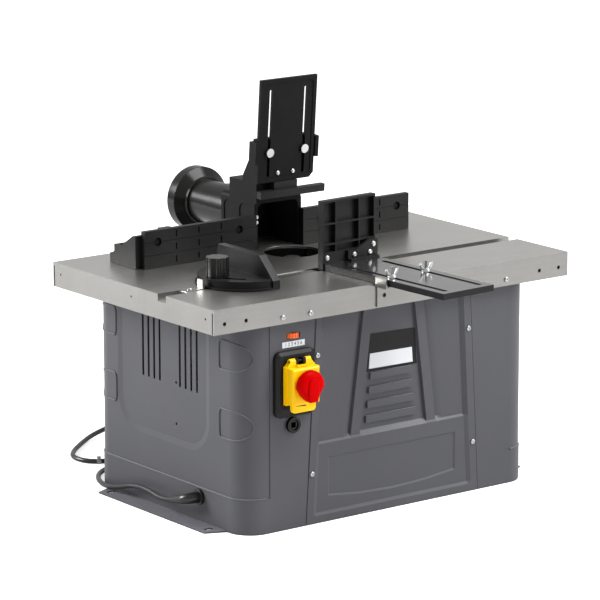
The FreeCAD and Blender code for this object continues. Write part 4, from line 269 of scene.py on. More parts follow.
# bare or plated metal with drawn lines
def metalFinish(name, look):
    made, tree, shader = startMaterial(name)
    lines = useGroup(tree, brushedLines, {
        "Stretch": look["stretch"], "Roughness": look["rough"], "Spread": look["roughSpread"]})
    streaks = sums(tree, "MULTIPLY", lines["Lines"], look["lineShade"])
    colour = mixColour(tree, streaks, handledColour(tree, look), look["shade"])
    # painted shade: faces that don't look up, such as the table's skirts, get their colour
    # multiplied by a darker factor
    if "sideShadePaint" in look:
        paintedSideShade = mixColour(tree, 1.0, colour, look["sideShadePaint"], "MULTIPLY")
        colour = mixColour(tree, facingUp(tree, **upperFaces), paintedSideShade, colour)
    wireSurface(tree, shader, look, colour, lines)
    shader.inputs["Metallic"].default_value = 1.0
    return made


# finishes by material slot, and the scene's own variants of them
blackLook = {
    "colour": (0.0075, 0.0072, 0.0074, 1), "shade": (0.012, 0.0115, 0.0115, 1), "dust": grey(0.08),
    "uneven": 0.6, "dusting": 0.1, "patch": 24.0, "grain": 1100.0, "rough": 0.42,
    "roughSpread": 0.25, "bump": 0.3, "bumpDepth": 0.00018, "specular": 0.18}
finishes = {
    "grey_paint": coatedFinish("greyPaint", {
        "colour": (0.074, 0.0745, 0.084, 1), "shade": (0.064, 0.065, 0.073, 1), "dust": grey(0.22),
        "uneven": 0.5, "dusting": 0.15, "patch": 6.0, "grain": 700.0, "rough": 0.44,
        "roughSpread": 0.2, "bump": 0.25, "bumpDepth": 0.0002, "topLightPaint": grey(2.2),
        "specular": 0.22}),
    "table_steel": metalFinish("groundSteel", {
        "colour": (0.56, 0.552, 0.53, 1), "shade": (0.37, 0.362, 0.34, 1), "dust": grey(0.5),
        "sideShadePaint": grey(0.5), "uneven": 0.55, "dusting": 0.1, "patch": 5.0,
        "stretch": (5.0, 420.0, 420.0), "lineShade": 0.16, "rough": 0.34, "roughSpread": 0.2,
        "bump": 0.18, "bumpDepth": 0.0001}),
    "zinc": metalFinish("zincPlate", {
        "colour": (0.5, 0.505, 0.51, 1), "shade": (0.36, 0.36, 0.37, 1), "dust": grey(0.4),
        "uneven": 0.4, "dusting": 0.0, "patch": 120.0, "stretch": (300.0, 300.0, 300.0),
        "lineShade": 0.3, "rough": 0.3, "roughSpread": 0.15, "bump": 0.06, "bumpDepth": 0.0001}),
    "bright_steel": metalFinish("brightSteel", {
        "colour": (0.62, 0.62, 0.61, 1), "shade": (0.42, 0.42, 0.41, 1), "dust": grey(0.5),
        "uneven": 0.4, "dusting": 0.05, "patch": 40.0, "stretch": (8.0, 700.0, 700.0),
        "lineShade": 0.35, "rough": 0.28, "roughSpread": 0.2, "bump": 0.15, "bumpDepth": 0.0001}),
    "cast_alloy": metalFinish("castAlloy", {
        "colour": (0.4, 0.4, 0.41, 1), "shade": (0.3, 0.3, 0.31, 1), "dust": grey(0.3),
        "uneven": 0.5, "dusting": 0.2, "patch": 60.0, "stretch": (420.0, 420.0, 420.0),
        "lineShade": 0.4, "rough": 0.55, "roughSpread": 0.25, "bump": 0.4, "bumpDepth": 0.0003}),
    "dark_steel": metalFinish("darkSteel", {
        "colour": (0.03, 0.0295, 0.029, 1), "shade": (0.016, 0.016, 0.016, 1), "dust": grey(0.1),
        "uneven": 0.4, "dusting": 0.0, "patch": 90.0, "stretch": (300.0, 300.0, 300.0),
        "lineShade": 0.3, "rough": 0.13, "roughSpread": 0.08, "bump": 0.04, "bumpDepth": 0.0001}),
    "motor_black": coatedFinish("motorBlack", {
        "colour": (0.02, 0.02, 0.021, 1), "shade": (0.03, 0.03, 0.03, 1), "dust": grey(0.16),
        "uneven": 0.4, "dusting": 0.3, "patch": 30.0, "grain": 800.0, "rough": 0.5,
        "roughSpread": 0.2, "bump": 0.3, "bumpDepth": 0.0002}),
    "black_plastic": coatedFinish("mouldedBlack", blackLook),
    "guard_black": coatedFinish("guardBlack", dict(blackLook, specular=0.06)),
    "presser_black": coatedFinish("presserBlack", dict(
        blackLook, bump=0.06, topCoat=1.0, coatRough=0.14, coatIor=1.85)),
    "mitre_black": coatedFinish("mitreBlack", dict(
        blackLook, specular=0.1, topCoat=0.4, coatRough=0.25, coatIor=1.5)),
    "port_plastic": coatedFinish("glossBlack", {
        "colour": (0.009, 0.009, 0.0085, 1), "shade": (0.014, 0.013, 0.012, 1), "dust": grey(0.1),
        "uneven": 0.4, "dusting": 0.08, "patch": 20.0, "grain": 500.0, "rough": 0.2,
        "roughSpread": 0.16, "bump": 0.1, "bumpDepth": 0.00015, "specular": 0.18}),
    "yellow_plastic": coatedFinish("yellowMould", {
        "colour": (1.0, 0.59, 0.0, 1), "shade": (0.95, 0.52, 0.0, 1), "dust": (0.95, 0.7, 0.3, 1),
        "uneven": 0.4, "dusting": 0.05, "patch": 60.0, "grain": 900.0, "rough": 0.36,
        "roughSpread": 0.15, "bump": 0.15, "bumpDepth": 0.00015, "specular": 0.2}),
    "red_plastic": coatedFinish("redMould", {
        "colour": (0.49, 0.0, 0.0004, 1), "shade": (0.42, 0.0005, 0.001, 1),
        "dust": (0.7, 0.1, 0.1, 1), "uneven": 0.3, "dusting": 0.02, "patch": 80.0, "grain": 900.0,
        "rough": 0.34, "roughSpread": 0.15, "bump": 0.12, "bumpDepth": 0.00015, "specular": 0.02}),
    "green_plastic": coatedFinish("greenMould", {
        "colour": (0.01, 0.22, 0.05, 1), "shade": (0.01, 0.15, 0.03, 1), "dust": grey(0.3),
        "uneven": 0.3, "dusting": 0.05, "patch": 80.0, "grain": 900.0, "rough": 0.35,
        "roughSpread": 0.15, "bump": 0.12, "bumpDepth": 0.00015}),
    "orange_plastic": coatedFinish("orangeMould", {
        "colour": (0.86, 0.13, 0.01, 1), "shade": (0.7, 0.09, 0.01, 1), "dust": (0.9, 0.5, 0.3, 1),
        "uneven": 0.3, "dusting": 0.05, "patch": 120.0, "grain": 1200.0, "rough": 0.38,
        "roughSpread": 0.15, "bump": 0.15, "bumpDepth": 0.00015}),
    "lead_black": coatedFinish("leadSheath", {
        "colour": (0.007, 0.007, 0.007, 1), "shade": (0.011, 0.011, 0.011, 1), "dust": grey(0.08),
        "uneven": 0.4, "dusting": 0.1, "patch": 50.0, "grain": 800.0, "rough": 0.3,
        "roughSpread": 0.2, "bump": 0.15, "bumpDepth": 0.00015}),
    "tie_grey": coatedFinish("tieStrip", {
        "colour": (0.32, 0.32, 0.33, 1), "shade": (0.25, 0.25, 0.26, 1), "dust": grey(0.4),
        "uneven": 0.3, "dusting": 0.1, "patch": 90.0, "grain": 900.0, "rough": 0.4,
        "roughSpread": 0.2, "bump": 0.15, "bumpDepth": 0.00015}),
}
print("finishes made:", len(finishes))


# stage: pale floor that reads white, white surround, soft lamps
stageLook = {
    "floorSpan": 60.0, "floorTone": grey(0.88), "floorLift": 0.62, "surround": 0.33, "shine": 0.68,
}
lamps = {
    "leftBox": {"place": (-2.7, 2.6, 1.9), "aim": (0.0, 0.0, 0.2), "size": 2.0, "power": 215.0},
    "frontBox": {"place": (2.4, -2.6, 1.7), "aim": (0.1, 0.0, 0.2), "size": 2.0, "power": 46.0},
    "topBox": {"place": (1.1, -1.6, 3.1), "aim": (0.0, -0.1, 0.2), "size": 2.2, "power": 150.0},
}


# rays that see the stage itself, not its light
def straightRays(tree):
    path = addNode(tree, "ShaderNodeLightPath").outputs
    return sums(tree, "MAXIMUM", path["Is Camera Ray"], path["Is Transmission Ray"])


def addSurround(look):
    scene.world = bpy.data.worlds.new("surround")
    tree = startTree(scene.world)
    glossy = addNode(tree, "ShaderNodeLightPath").outputs["Is Glossy Ray"]
    mirrored = ramp(tree, glossy, 0.0, 1.0, look["surround"], look["shine"])
    strength = ramp(tree, straightRays(tree), 0.0, 1.0, mirrored, 1.0)
    glow = addNode(tree, "ShaderNodeBackground", {"Color": grey(1.0), "Strength": strength})
    addNode(tree, "ShaderNodeOutputWorld", {"Surface": glow.outputs[0]})


def addFloor(look):
    paleFloor = bpy.data.materials.new("paleFloor")
    tree = startTree(paleFloor)
    matt = addNode(tree, "ShaderNodeBsdfDiffuse", {"Color": look["floorTone"]})
    strength = sums(tree, "MULTIPLY", straightRays(tree), look["floorLift"])
    lift = addNode(tree, "ShaderNodeEmission", {"Strength": strength})
    both = addNode(tree, "ShaderNodeAddShader", {0: matt.outputs[0], 1: lift.outputs[0]})
    addNode(tree, "ShaderNodeOutputMaterial", {"Surface": both.outputs[0]})
    bm = bmesh.new()
    bmesh.ops.create_grid(bm, x_segments=1, y_segments=1, size=look["floorSpan"] / 2)
    mesh = bpy.data.meshes.new("floor")
    bm.to_mesh(mesh)
    bm.free()
    mesh.materials.append(paleFloor)
    floor = bpy.data.objects.new("floor", mesh)
    scene.collection.objects.link(floor)


def addLamps(table):
    for name, lamp in table.items():
        data = bpy.data.lights.new(name, "AREA")
        data.shape = "DISK"
        data.size = lamp["size"]
        data.energy = lamp["power"]
        seat = bpy.data.objects.new(name, data)
        turn = (Vector(lamp["aim"]) - Vector(lamp["place"])).to_track_quat("-Z", "Y")
        seat.matrix_world = Matrix.Translation(lamp["place"]) @ turn.to_matrix().to_4x4()
        scene.collection.objects.link(seat)


addSurround(stageLook)
addFloor(stageLook)
addLamps(lamps)
print("stage and lamps set")


# round NURBS curve over a line of control points
curveOrder = 3


def roundCurve(name, points, radius, roundSteps, alongSteps, closed=False):
    data = bpy.data.curves.new(name, "CURVE")
    data.dimensions = "3D"
    data.bevel_depth = radius
    data.bevel_resolution = roundSteps
    data.resolution_u = alongSteps
    spline = data.splines.new("NURBS")
    spline.points.add(len(points) - 1)
    for point, place in zip(spline.points, points):
        point.co = (*place, 1.0)
    spline.order_u = curveOrder
    spline.use_cyclic_u = closed
    spline.use_endpoint_u = not closed
    return data


# mains lead: the route's own points in millimetres, coil turns as points round each half turn
leadRoute = {
    "run": [(-268.5, -41.07, 27.29), (-268.5, -17.8, 21.5), (-262.5, 28, 25.5), (-261, 66, 22.5),
            (-262.5, 100, 12), (-260, 134, 5.9), (-248, 170, 4), (-229, 199, 3.7), (-203, 217, 3.7),
            (-168, 224, 3.7), (-130, 222, 3.8), (-92, 214, 4), (-56, 203, 4.4), (-25, 199, 4.7),
            (-1, 199, 4.7)],
    "tail": [(-1, 287, 12.7), (-25, 287, 12.7), (-66, 281, 9.5), (-104, 264, 5), (-144, 250, 3.7),
             (-176, 247, 3.7), (-204, 263, 3.7), (-208, 296, 3.7), (-189, 323, 3.7),
             (-158, 350, 3.7), (-121, 378, 4.5), (-80, 391, 8.5), (-38, 394, 18.7),
             (-14, 394, 18.7)],
    "coilX": 6.0, "coilLow": 4.7, "coilClimb": 8.0, "climbTurn": 4, "halfPoints": 7, "bulge": 1.028,
    "halfTurns": [(44, 243), (40, 247), (36, 243), (32, 247), (28, 243), (32, 239), (36, 243),
                  (40, 239), (44, 243)],
    "diameter": 0.007, "length": 2.02, "roundSteps": 5, "alongSteps": 10,
}


def coilPoints(route):
    points = []
    z = route["coilLow"]
    for turn, (radius, middle) in enumerate(route["halfTurns"]):
        climb = route["coilClimb"] if turn == route["climbTurn"] else 0.0
        reach = radius * route["bulge"]
        for step in range(route["halfPoints"]):
            share = (step + 0.5) / route["halfPoints"]
            angle = -math.pi / 2 + math.pi * (share + turn % 2)
            x = route["coilX"] + reach * math.cos(angle)
            points.append((x, middle + reach * math.sin(angle), z + climb * share))
        z += climb
    return points


def addLead(route):
    places = route["run"] + coilPoints(route) + route["tail"]
    points = [[value * mm for value in place] for place in places]
    data = roundCurve("mainsLead", points, route["diameter"] / 2,
                      route["roundSteps"], route["alongSteps"])
    data.use_fill_caps = True
    data.materials.append(finishes["lead_black"])
    lead = bpy.data.objects.new("mainsLead", data)
    scene.collection.objects.link(lead)
    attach(lead, "stand")
    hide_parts("cord_run", "cord_coil", "cord_tail")
    return lead


lead = addLead(leadRoute)
print("mains lead laid")


# CAD nodes keep their shape: facets welded, edges eased, faces shaded by angle
edgeEase = {"weld": 0.00002, "flat": 0.4, "width": 0.6, "segments": 2, "profile": 0.5,
            "leastAngle": 18.0}
shadeLimits = {"plain": 32.0, "pressed": 18.0, "curved": 8.0}


def makeShading(limit):
    tree = bpy.data.node_groups.new("shadeByAngle", "GeometryNodeTree")
    for way in ("INPUT", "OUTPUT"):
        tree.interface.new_socket("Geometry", in_out=way, socket_type="NodeSocketGeometry")
    given = tree.nodes.new("NodeGroupInput").outputs[0]
    plain = addNode(tree, "GeometryNodeRemoveAttribute", {
        "Geometry": given, "Name": "custom_normal"}).outputs[0]
    smooth = addNode(tree, "GeometryNodeSetShadeSmooth", {
        "Geometry": plain, "Shade Smooth": True}, domain="FACE").outputs[0]
    bend = addNode(tree, "GeometryNodeInputMeshEdgeAngle").outputs["Unsigned Angle"]
    gentle = addNode(tree, "FunctionNodeCompare", {0: bend, 1: math.radians(limit)},
                     data_type="FLOAT", operation="LESS_THAN").outputs[0]
    edges = addNode(tree, "GeometryNodeSetShadeSmooth", {
        "Geometry": smooth, "Shade Smooth": gentle}, domain="EDGE").outputs[0]
    addNode(tree, "NodeGroupOutput", {"Geometry": edges})
    return tree


shadeByAngle = {kind: makeShading(limit) for kind, limit in shadeLimits.items()}


def easeNode(node, width, kind):
    weld = node.modifiers.new("weld", "WELD")
    weld.merge_threshold = edgeEase["weld"]
    flat = node.modifiers.new("flat", "DECIMATE")
    flat.decimate_type = "DISSOLVE"
    flat.angle_limit = math.radians(edgeEase["flat"])
    bevel = node.modifiers.new("bevel", "BEVEL")
    bevel.width = width * mm
    bevel.segments = edgeEase["segments"]
    bevel.profile = edgeEase["profile"]
    bevel.limit_method = "ANGLE"
    bevel.angle_limit = math.radians(max(shadeLimits[kind], edgeEase["leastAngle"]))
    bevel.use_clamp_overlap = True
    shade = node.modifiers.new("shade", "NODES")
    shade.node_group = shadeByAngle[kind]
    node.modifiers.new("weighted", "WEIGHTED_NORMAL").keep_sharp = True


def dressNode(node, finish):
    if not node.material_slots:
        node.data.materials.append(finish)
    for slot in node.material_slots:
        slot.material = finish


slotOf = {row["node"]: row["material_slot"] for row in frame["record"]["subparts"]}
ownFinish = {
    "guard_plate": "guard_black", "fence_hood": "guard_black", "guard_bracket": "guard_black",
    "board_screws_left": "guard_black", "board_screws_right": "guard_black",
    "presser_plate": "presser_black", "presser_bracket": "table_steel",
    "mitre_head": "mitre_black", "mitre_knob": "port_plastic", "mitre_pointer": "table_steel",
    "height_shaft": "dark_steel", "height_bush": "dark_steel",
}
ownEase = {
    "front_panel": 1.0, "rear_panel": 1.2, "dust_port": 1.6, "switch_cover": 0.9, "switch_box": 1.4,
    "mitre_head": 1.0, "fence_hood": 1.0, "guard_plate": 0.8, "fence_knob_left": 1.2,
    "fence_knob_right": 1.2, "mitre_knob": 1.4, "height_bush": 1.6,
}
ownShading = {"front_panel": "pressed", "rear_panel": "pressed",
              "left_shell": "curved", "right_shell": "curved"}
for name, node in cadNodes.items():
    dressNode(node, finishes[ownFinish.get(name, slotOf[name])])
    easeNode(node, ownEase.get(name, edgeEase["width"]), ownShading.get(name, "plain"))
print("CAD nodes dressed:", len(slotOf), "by slot")


# new pieces are drawn in millimetres, sealed, scaled and given to a body
sealing = {"doubles": 0.005, "sharp": 35.0}
bevelStyle = {"affect": "EDGES", "profile": 0.5, "material": -1}


def sealPiece(bm, name, body, slot, finish=None, hides=()):
    bmesh.ops.remove_doubles(bm, verts=bm.verts, dist=sealing["doubles"])
    bmesh.ops.recalc_face_normals(bm, faces=bm.faces)
    bmesh.ops.scale(bm, vec=(mm, mm, mm), verts=bm.verts)
    sharp = math.radians(sealing["sharp"])
    for face in bm.faces:
        face.smooth = True
    for edge in bm.edges:
        edge.smooth = len(edge.link_faces) == 2 and edge.calc_face_angle() < sharp
    mesh = bpy.data.meshes.new(name)
    bm.to_mesh(mesh)
    bm.free()
    piece = bpy.data.objects.new(name, mesh)
    mesh.materials.append(finish or finishes[slot])
    scene.collection.objects.link(piece)
    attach(piece, body)
    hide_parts(*hides)


# runs one drawing and sets what it drew in its place
def setAt(bm, place, draw, *values):
    older = set(bm.verts)
    draw(bm, *values)
    bmesh.ops.transform(bm, matrix=place, verts=[vert for vert in bm.verts if vert not in older])


def onlyVerts(geom):
    return [item for item in geom if isinstance(item, bmesh.types.BMVert)]


def turned(bm, profile, steps):
    verts = [bm.verts.new((radius, 0.0, height)) for radius, height in profile]
    edges = [bm.edges.new(pair) for pair in zip(verts, verts[1:])]
    bmesh.ops.spin(bm, geom=verts + edges, cent=(0, 0, 0), axis=(0, 0, 1), angle=math.tau,
                   steps=steps, use_merge=True)


def prism(bm, corners, height):
    face = bm.faces.new([bm.verts.new((x, y, 0.0)) for x, y in corners])
    drawn = bmesh.ops.extrude_face_region(bm, geom=[face])["geom"]
    bmesh.ops.translate(bm, vec=(0, 0, height), verts=onlyVerts(drawn))


def boxCorners(left, low, right, high):
    return [(left, low), (right, low), (right, high), (left, high)]


# which way a flat drawing's own Z looks, with its own X to the viewer's right
facingTurns = {
    "front": Matrix(((1, 0, 0), (0, 0, -1), (0, 1, 0))),
    "back": Matrix(((-1, 0, 0), (0, 0, 1), (0, 1, 0))),
    "left": Matrix(((0, 0, -1), (-1, 0, 0), (0, 1, 0))),
}


def facing(way, place):
    return Matrix.Translation(place) @ facingTurns[way].to_4x4()


# one flat plate standing forward of an upright wall
def frontPlate(name, body, slot, wall, corners, thick, finish=None):
    bm = bmesh.new()
    setAt(bm, facing("front", (0, wall, 0)), prism, corners, thick)
    sealPiece(bm, name, body, slot, finish)


# pan head in shares of its radius and height: cross recess, then rings out to the seat
panLook = {
    "arm": 0.44, "half": 0.11, "floorShrink": 0.8, "floorHeight": 0.6,
    "rings": ((0.74, 0.96), (0.93, 0.74), (1.0, 0.4), (1.0, 0.0)), "steps": 24,
}


def panHead(bm, radius, height):
    arm, half = radius * panLook["arm"], radius * panLook["half"]
    cross = [(arm, half), (half, half), (half, arm), (-half, arm), (-half, half), (-arm, half),
             (-arm, -half), (-half, -half), (-half, -arm), (half, -arm), (half, -half),
             (arm, -half)]
    shrink, low = panLook["floorShrink"], height * panLook["floorHeight"]
    floor = bm.faces.new([bm.verts.new((x * shrink, y * shrink, low)) for x, y in cross])
    rim = [bm.verts.new((x, y, height)) for x, y in cross]
    loops = [floor.edges[:], [bm.edges.new(pair) for pair in zip(rim, rim[1:] + rim[:1])]]
    for share, lift in panLook["rings"]:
        ring = bmesh.ops.create_circle(bm, segments=panLook["steps"], radius=radius * share,
                                       matrix=Matrix.Translation((0, 0, height * lift)))["verts"]
        loops.append(list(dict.fromkeys(edge for vert in ring for edge in vert.link_edges)))
    for inner, outer in zip(loops, loops[1:]):
        bmesh.ops.bridge_loops(bm, edges=inner + outer)


# a curve or a line of figures as a plain mesh, taken into a drawing
def curveMesh(name, data):
    seat = bpy.data.objects.new(name, data)
    scene.collection.objects.link(seat)
    bpy.context.view_layer.update()
    settled = seat.evaluated_get(bpy.context.evaluated_depsgraph_get())
    mesh = bpy.data.meshes.new_from_object(settled)
    bpy.data.objects.remove(seat)
    return mesh


labelWhite = coatedFinish("labelWhite", {
    "colour": (0.62, 0.635, 0.66, 1), "shade": (0.56, 0.57, 0.6, 1), "dust": grey(0.6),
    "uneven": 0.3, "dusting": 0.0, "patch": 40.0, "grain": 900.0, "rough": 0.4, "roughSpread": 0.1,
    "bump": 0.05, "bumpDepth": 0.0001})

# cross-headed screws of the skirts and the two panels
cabinetScrews = {
    "radius": 3.7, "height": 2.4, "front": -178.5, "skirt": -190.0,
    "skirtX": (-193, -147, 147, 193), "skirtZ": 297.0,
    "frontPanel": [(134.85, 234), (-126.85, 234), (144.09, 71), (-136.09, 71)],
    "rearPanel": [(130.85, 234), (-130.85, 234), (140.09, 71), (-140.09, 71)],
}


def addCabinetScrews(screws):
    bm = bmesh.new()
    skirt = [(x, screws["skirt"], screws["skirtZ"]) for x in screws["skirtX"]]
    front = skirt + [(x, screws["front"], z) for x, z in screws["frontPanel"]]
    back = [(x, -y, z) for x, y, z in skirt]
    back += [(x, -screws["front"], z) for x, z in screws["rearPanel"]]
    for way, places in (("front", front), ("back", back)):
        for place in places:
            setAt(bm, facing(way, place), panHead, screws["radius"], screws["height"])
    sealPiece(bm, "crossHeadScrews", "stand", "zinc", hides=("cabinet_screws",))


addCabinetScrews(cabinetScrews)

# scale strip over the switch, with plain figures for the speed dial
scaleStrip = {"low": (-185.5, 251.7), "high": (-148.3, 259.6), "wall": -178.5, "thick": 0.3,
              "figures": "1 2 3 4 5 6", "figureSize": 6.6, "figureLift": 0.05}


def addScaleStrip(strip):
    (left, low), (right, high) = strip["low"], strip["high"]
    frontPlate("scaleStrip", "stand", "tie_grey", strip["wall"],
               boxCorners(left, low, right, high), strip["thick"], labelWhite)
    data = bpy.data.curves.new("figures", "FONT")
    data.body = strip["figures"]
    data.size = strip["figureSize"]
    data.align_x, data.align_y = "CENTER", "CENTER"
    data.extrude = strip["figureLift"]
    bm = bmesh.new()
    bm.from_mesh(curveMesh("figures", data))
    face = strip["wall"] - strip["thick"] - strip["figureLift"] / 2
    place = facing("front", ((left + right) / 2, face, (low + high) / 2))
    bmesh.ops.transform(bm, matrix=place, verts=bm.verts)
    sealPiece(bm, "scaleFigures", "stand", "black_plastic")


addScaleStrip(scaleStrip)

# bare plate on the front panel: black with a light lower field
barePlate = {
    "wall": -169.5, "thick": 0.5, "fieldLift": 0.12,
    "corners": [(-38.6, 195.8), (51.0, 195.2), (47.2, 243.4), (46.6, 245.4), (44.6, 246.3),
                (-29.4, 247.9), (-31.6, 247.2), (-32.6, 245.2)],
    "field": [(-32.6, 199.4), (43.6, 198.6), (42.0, 219.6), (-30.6, 220.4)],
}


def addBarePlate(plate):
    frontPlate("barePlate", "stand", "black_plastic", plate["wall"],
               plate["corners"], plate["thick"])
    frontPlate("barePlateField", "stand", "tie_grey", plate["wall"] - plate["thick"],
               plate["field"], plate["fieldLift"], labelWhite)


addBarePlate(barePlate)

# D-shaped beads pressed round the left shell's corners, drawn along the wall and up,
# and the bead over the plinth on both shells
cornerBeads = {
    "outline": [(0, 0), (0, 20), (0, 40), (10, 40.3), (20, 40.2), (36, 39), (48, 35), (57, 28.5),
                (60.5, 21), (58, 12.5), (50, 4.5), (38, 0.3), (24, 0), (10, 0)],
    "lows": (223, 129), "start": 121.5, "half": (248.5, 178.5), "corner": 36.0,
    "radius": 1.2, "sunk": 0.55, "roundSteps": 2, "alongSteps": 4,
    "plinthLow": 48.6, "plinthRadius": 1.5,
    "plinthAlong": [-121.5, -100, -60, -20, 10, 21, 28, 36, 44, 52, 60, 68, 77.5],
}


def beadPlace(beads, along, z, end):
    halfX, halfY = (size - beads["corner"] for size in beads["half"])
    flat = halfY - beads["start"]
    reach = beads["corner"] - beads["sunk"]
    if along <= flat:
        return (-halfX - reach, end * (beads["start"] + along), z)
    angle = (along - flat) / beads["corner"]
    return (-halfX - reach * math.cos(angle), end * (halfY + reach * math.sin(angle)), z)


def beadTube(beads, points, radius, closed):
    steps = (beads["roundSteps"], beads["alongSteps"])
    return curveMesh("bead", roundCurve("bead", points, radius, *steps, closed))


def addCornerBeads(beads):
    bm = bmesh.new()
    for end in (-1, 1):
        for low in beads["lows"]:
            points = [beadPlace(beads, along, low + up, end) for along, up in beads["outline"]]
            bm.from_mesh(beadTube(beads, points, beads["radius"], True))
    front, back = ([beadPlace(beads, along, beads["plinthLow"], end)
                    for along in beads["plinthAlong"]] for end in (-1, 1))
    line = beadTube(beads, front[::-1] + back[1:], beads["plinthRadius"], False)
    bm.from_mesh(line)
    for vert in line.vertices:
        vert.co.x = -vert.co.x
    bm.from_mesh(line)
    sealPiece(bm, "cornerBeads", "stand", "grey_paint")


addCornerBeads(cornerBeads)

# black sheets behind the open corner joints of the skirts: painted shade seen through the joints
cornerJointShade = {"inner": 302.0, "outer": 302.4, "along": (184.0, 188.8), "height": (287.5, 318.5)}


def addCornerJointShade(jointShade):
    bm = bmesh.new()
    (near, far), (low, high) = jointShade["along"], jointShade["height"]
    thick = jointShade["outer"] - jointShade["inner"]
    for x in (-jointShade["inner"], jointShade["outer"]):
        for way in (-1, 1):
            corners = boxCorners(way * near, low, way * far, high)
            setAt(bm, facing("left", (x, 0, 0)), prism, corners, thick)
    sealPiece(bm, "cornerJointShade", "stand", "black_plastic")


addCornerJointShade(cornerJointShade)

# blind nuts behind the skirt's bolt holes
blindNuts = {"x": (253.0, 288.0), "z": 301.5, "inside": 187.6, "sides": 6,
             "profile": [(0.0, 3.0), (4.6, 3.0), (4.6, 0.0), (0.0, 0.0)]}


def addBlindNuts(nuts):
    bm = bmesh.new()
    for x in nuts["x"]:
        for side in (-1, 1):
            place = facing("back", (side * x, -nuts["inside"], nuts["z"]))
            setAt(bm, place, turned, nuts["profile"], nuts["sides"])
    sealPiece(bm, "blindNuts", "stand", "black_plastic")


addBlindNuts(blindNuts)

# black strip down the front panel's left edge: painted shade of the open seam
seamShade = {"top": (-128.4, 287.5), "low": (-145.9, 3.0), "wide": 1.5,
            "wall": -178.5, "thick": 0.08}


def addSeamShade(seam):
    (topX, topZ), (lowX, lowZ) = seam["top"], seam["low"]
    half = seam["wide"] / 2
    corners = [(lowX - half, lowZ), (lowX + half, lowZ), (topX + half, topZ), (topX - half, topZ)]
    frontPlate("seamShade", "stand", "black_plastic", seam["wall"], corners, seam["thick"])


addSeamShade(seamShade)

# tie band and its catch on the lead's tail
leadTie = {
    "place": (-190.0, 254.2, 3.7), "turn": 2.62, "steps": 24,
    "profile": [(3.45, -3.2), (3.68, -3.2), (3.68, 3.2), (3.45, 3.2)],
    "catch": [(-2.6, -3.0), (2.6, -3.0), (2.6, 3.0), (-2.6, 3.0)],
    "catchLow": 3.6, "catchHigh": 3.6,
}


def addLeadTie(tie):
    bm = bmesh.new()
    turn = Matrix.Translation(tie["place"]) @ Matrix.Rotation(tie["turn"], 4, "Z")
    lying = turn @ Matrix.Rotation(math.pi / 2, 4, "Y")
    setAt(bm, lying, turned, tie["profile"], tie["steps"])
    above = turn @ Matrix.Translation((0, 0, tie["catchLow"]))
    setAt(bm, above, prism, tie["catch"], tie["catchHigh"])
    sealPiece(bm, "leadTie", "stand", "tie_grey")


addLeadTie(leadTie)

# stop mushroom: rounded head that narrows downward, with a raised grip
mushroom = {
    "place": (-168.0, -178.5, 205.0), "reach": 21.8, "narrowing": 0.36, "steps": 48,
    "profile": [(0, 19.5), (7.5, 19.5), (7.5, 35), (20.8, 35), (21.5, 35.4), (21.8, 36.2),
                (21.8, 39.4), (21.4, 41.2), (20.3, 43), (18.3, 44.6), (15.4, 45.8), (11.5, 46.5),
                (6, 46.8), (0, 46.9)],
    "grip": [(-6.2, -20.2), (6.2, -20.2), (8.2, -12), (9, 0), (8.6, 5), (6.8, 9), (3.8, 11.4),
             (0, 12.2), (-3.8, 11.4), (-6.8, 9), (-8.6, 5), (-9, 0), (-8.2, -12)],
    "gripBack": 41.0, "gripFront": 48.4, "round": 1.2, "roundSteps": 3,
}


def mushroomHead(bm, look):
    turned(bm, look["profile"], look["steps"])
    for vert in [vert for vert in bm.verts if vert.co.y < 0]:
        share = 1 + look["narrowing"] * vert.co.y / look["reach"]
        bmesh.ops.scale(bm, vec=(share, 1, 1), verts=[vert])


def mushroomGrip(bm, look):
    older = set(bm.edges)
    prism(bm, look["grip"], look["gripFront"] - look["gripBack"])
    drawn = [edge for edge in bm.edges if edge not in older]
    rim = [edge for edge in drawn if all(vert.co.z > 0 for vert in edge.verts)]
    bmesh.ops.bevel(bm, geom=rim, offset=look["round"], segments=look["roundSteps"], **bevelStyle)


def addMushroom(look):
    bm = bmesh.new()
    mushroomHead(bm, look)
    setAt(bm, Matrix.Translation((0, 0, look["gripBack"])), mushroomGrip, look)
    bmesh.ops.transform(bm, matrix=facing("front", look["place"]), verts=bm.verts)
    sealPiece(bm, "mushroomHead", "mushroom", "red_plastic", hides=("stop_mushroom",))


addMushroom(mushroom)

# low web between the cover's hinge lugs, and a black sliver over its lip: painted shade of the open
# slit
coverWeb = {
    "wall": -198.0, "thick": 2.5,
    "corners": [(-176.6, 229.2), (-159.4, 229.2), (-159.4, 232.6), (-163.0, 231.4), (-173.0, 231.4),
                (-176.6, 232.6)],
    "lip": -203.5, "slitShadeThick": 0.1,
    "slitShade": [(-182.4, 176.9), (-165.0, 175.3), (-165.0, 177.2), (-181.0, 177.4)],
}


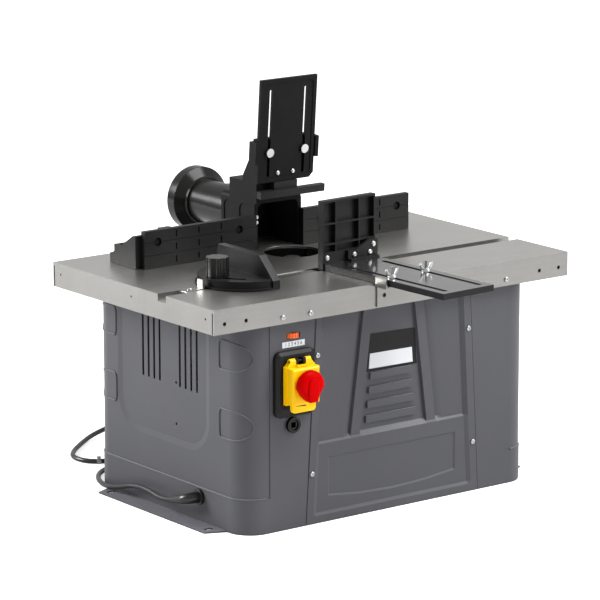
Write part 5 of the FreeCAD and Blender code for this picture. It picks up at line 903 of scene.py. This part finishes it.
def addCoverWeb(web):
    frontPlate("coverWeb", "cover", "yellow_plastic", web["wall"], web["corners"], web["thick"])
    frontPlate("coverSlitShade", "cover", "black_plastic", web["lip"], web["slitShade"], web["slitShadeThick"])


addCoverWeb(coverWeb)

# low wing nuts on the presser's studs
wingNuts = {
    "places": {"left": (-21.47, -205.44, 331.3), "right": (39.47, -202.56, 331.3)}, "steps": 32,
    "hub": [(3.1, 0.0), (6.6, 0.0), (6.4, 1.6), (4.9, 4.6), (3.1, 5.2), (3.1, 0.0)],
    "wing": [(3.6, 1.4), (6.2, 1.6), (9.6, 5.4), (11.4, 9.4), (11.2, 11.6), (9.6, 12.4),
             (7.8, 11.4), (6.0, 8.0), (3.6, 4.4)],
    "thick": 2.4, "round": 0.6, "roundSteps": 2,
}


def wing(bm, look):
    prism(bm, look["wing"], look["thick"])
    bmesh.ops.bevel(bm, geom=bm.edges[:], offset=look["round"], segments=look["roundSteps"],
                    **bevelStyle)
    bmesh.ops.rotate(bm, matrix=Matrix.Rotation(math.pi / 2, 3, "X"), verts=bm.verts)
    bmesh.ops.translate(bm, vec=(0, look["thick"] / 2, 0), verts=bm.verts)


def addWingNuts(look):
    for side, place in look["places"].items():
        bm = bmesh.new()
        wing(bm, look)
        copied = bmesh.ops.duplicate(bm, geom=bm.verts[:] + bm.edges[:] + bm.faces[:])["geom"]
        halfTurn = Matrix.Rotation(math.pi, 3, "Z")
        bmesh.ops.rotate(bm, matrix=halfTurn, verts=onlyVerts(copied))
        turned(bm, look["hub"], look["steps"])
        bmesh.ops.translate(bm, vec=place, verts=bm.verts)
        sealPiece(bm, "wingNut." + side, "wing_" + side, "zinc", hides=("wing_nut_" + side,))


addWingNuts(wingNuts)

# small bright screws on the hood's pillar
hoodScrews = {"radius": 2.4, "height": 0.25,
              "places": [(-36.5, 79.0, 369.5), (-36.5, 79.0, 361.6)]}


def addHoodScrews(screws):
    bm = bmesh.new()
    for place in screws["places"]:
        setAt(bm, facing("front", place), panHead, screws["radius"], screws["height"])
    sealPiece(bm, "hoodScrews", "fence", "zinc")


addHoodScrews(hoodScrews)
print("new pieces made")
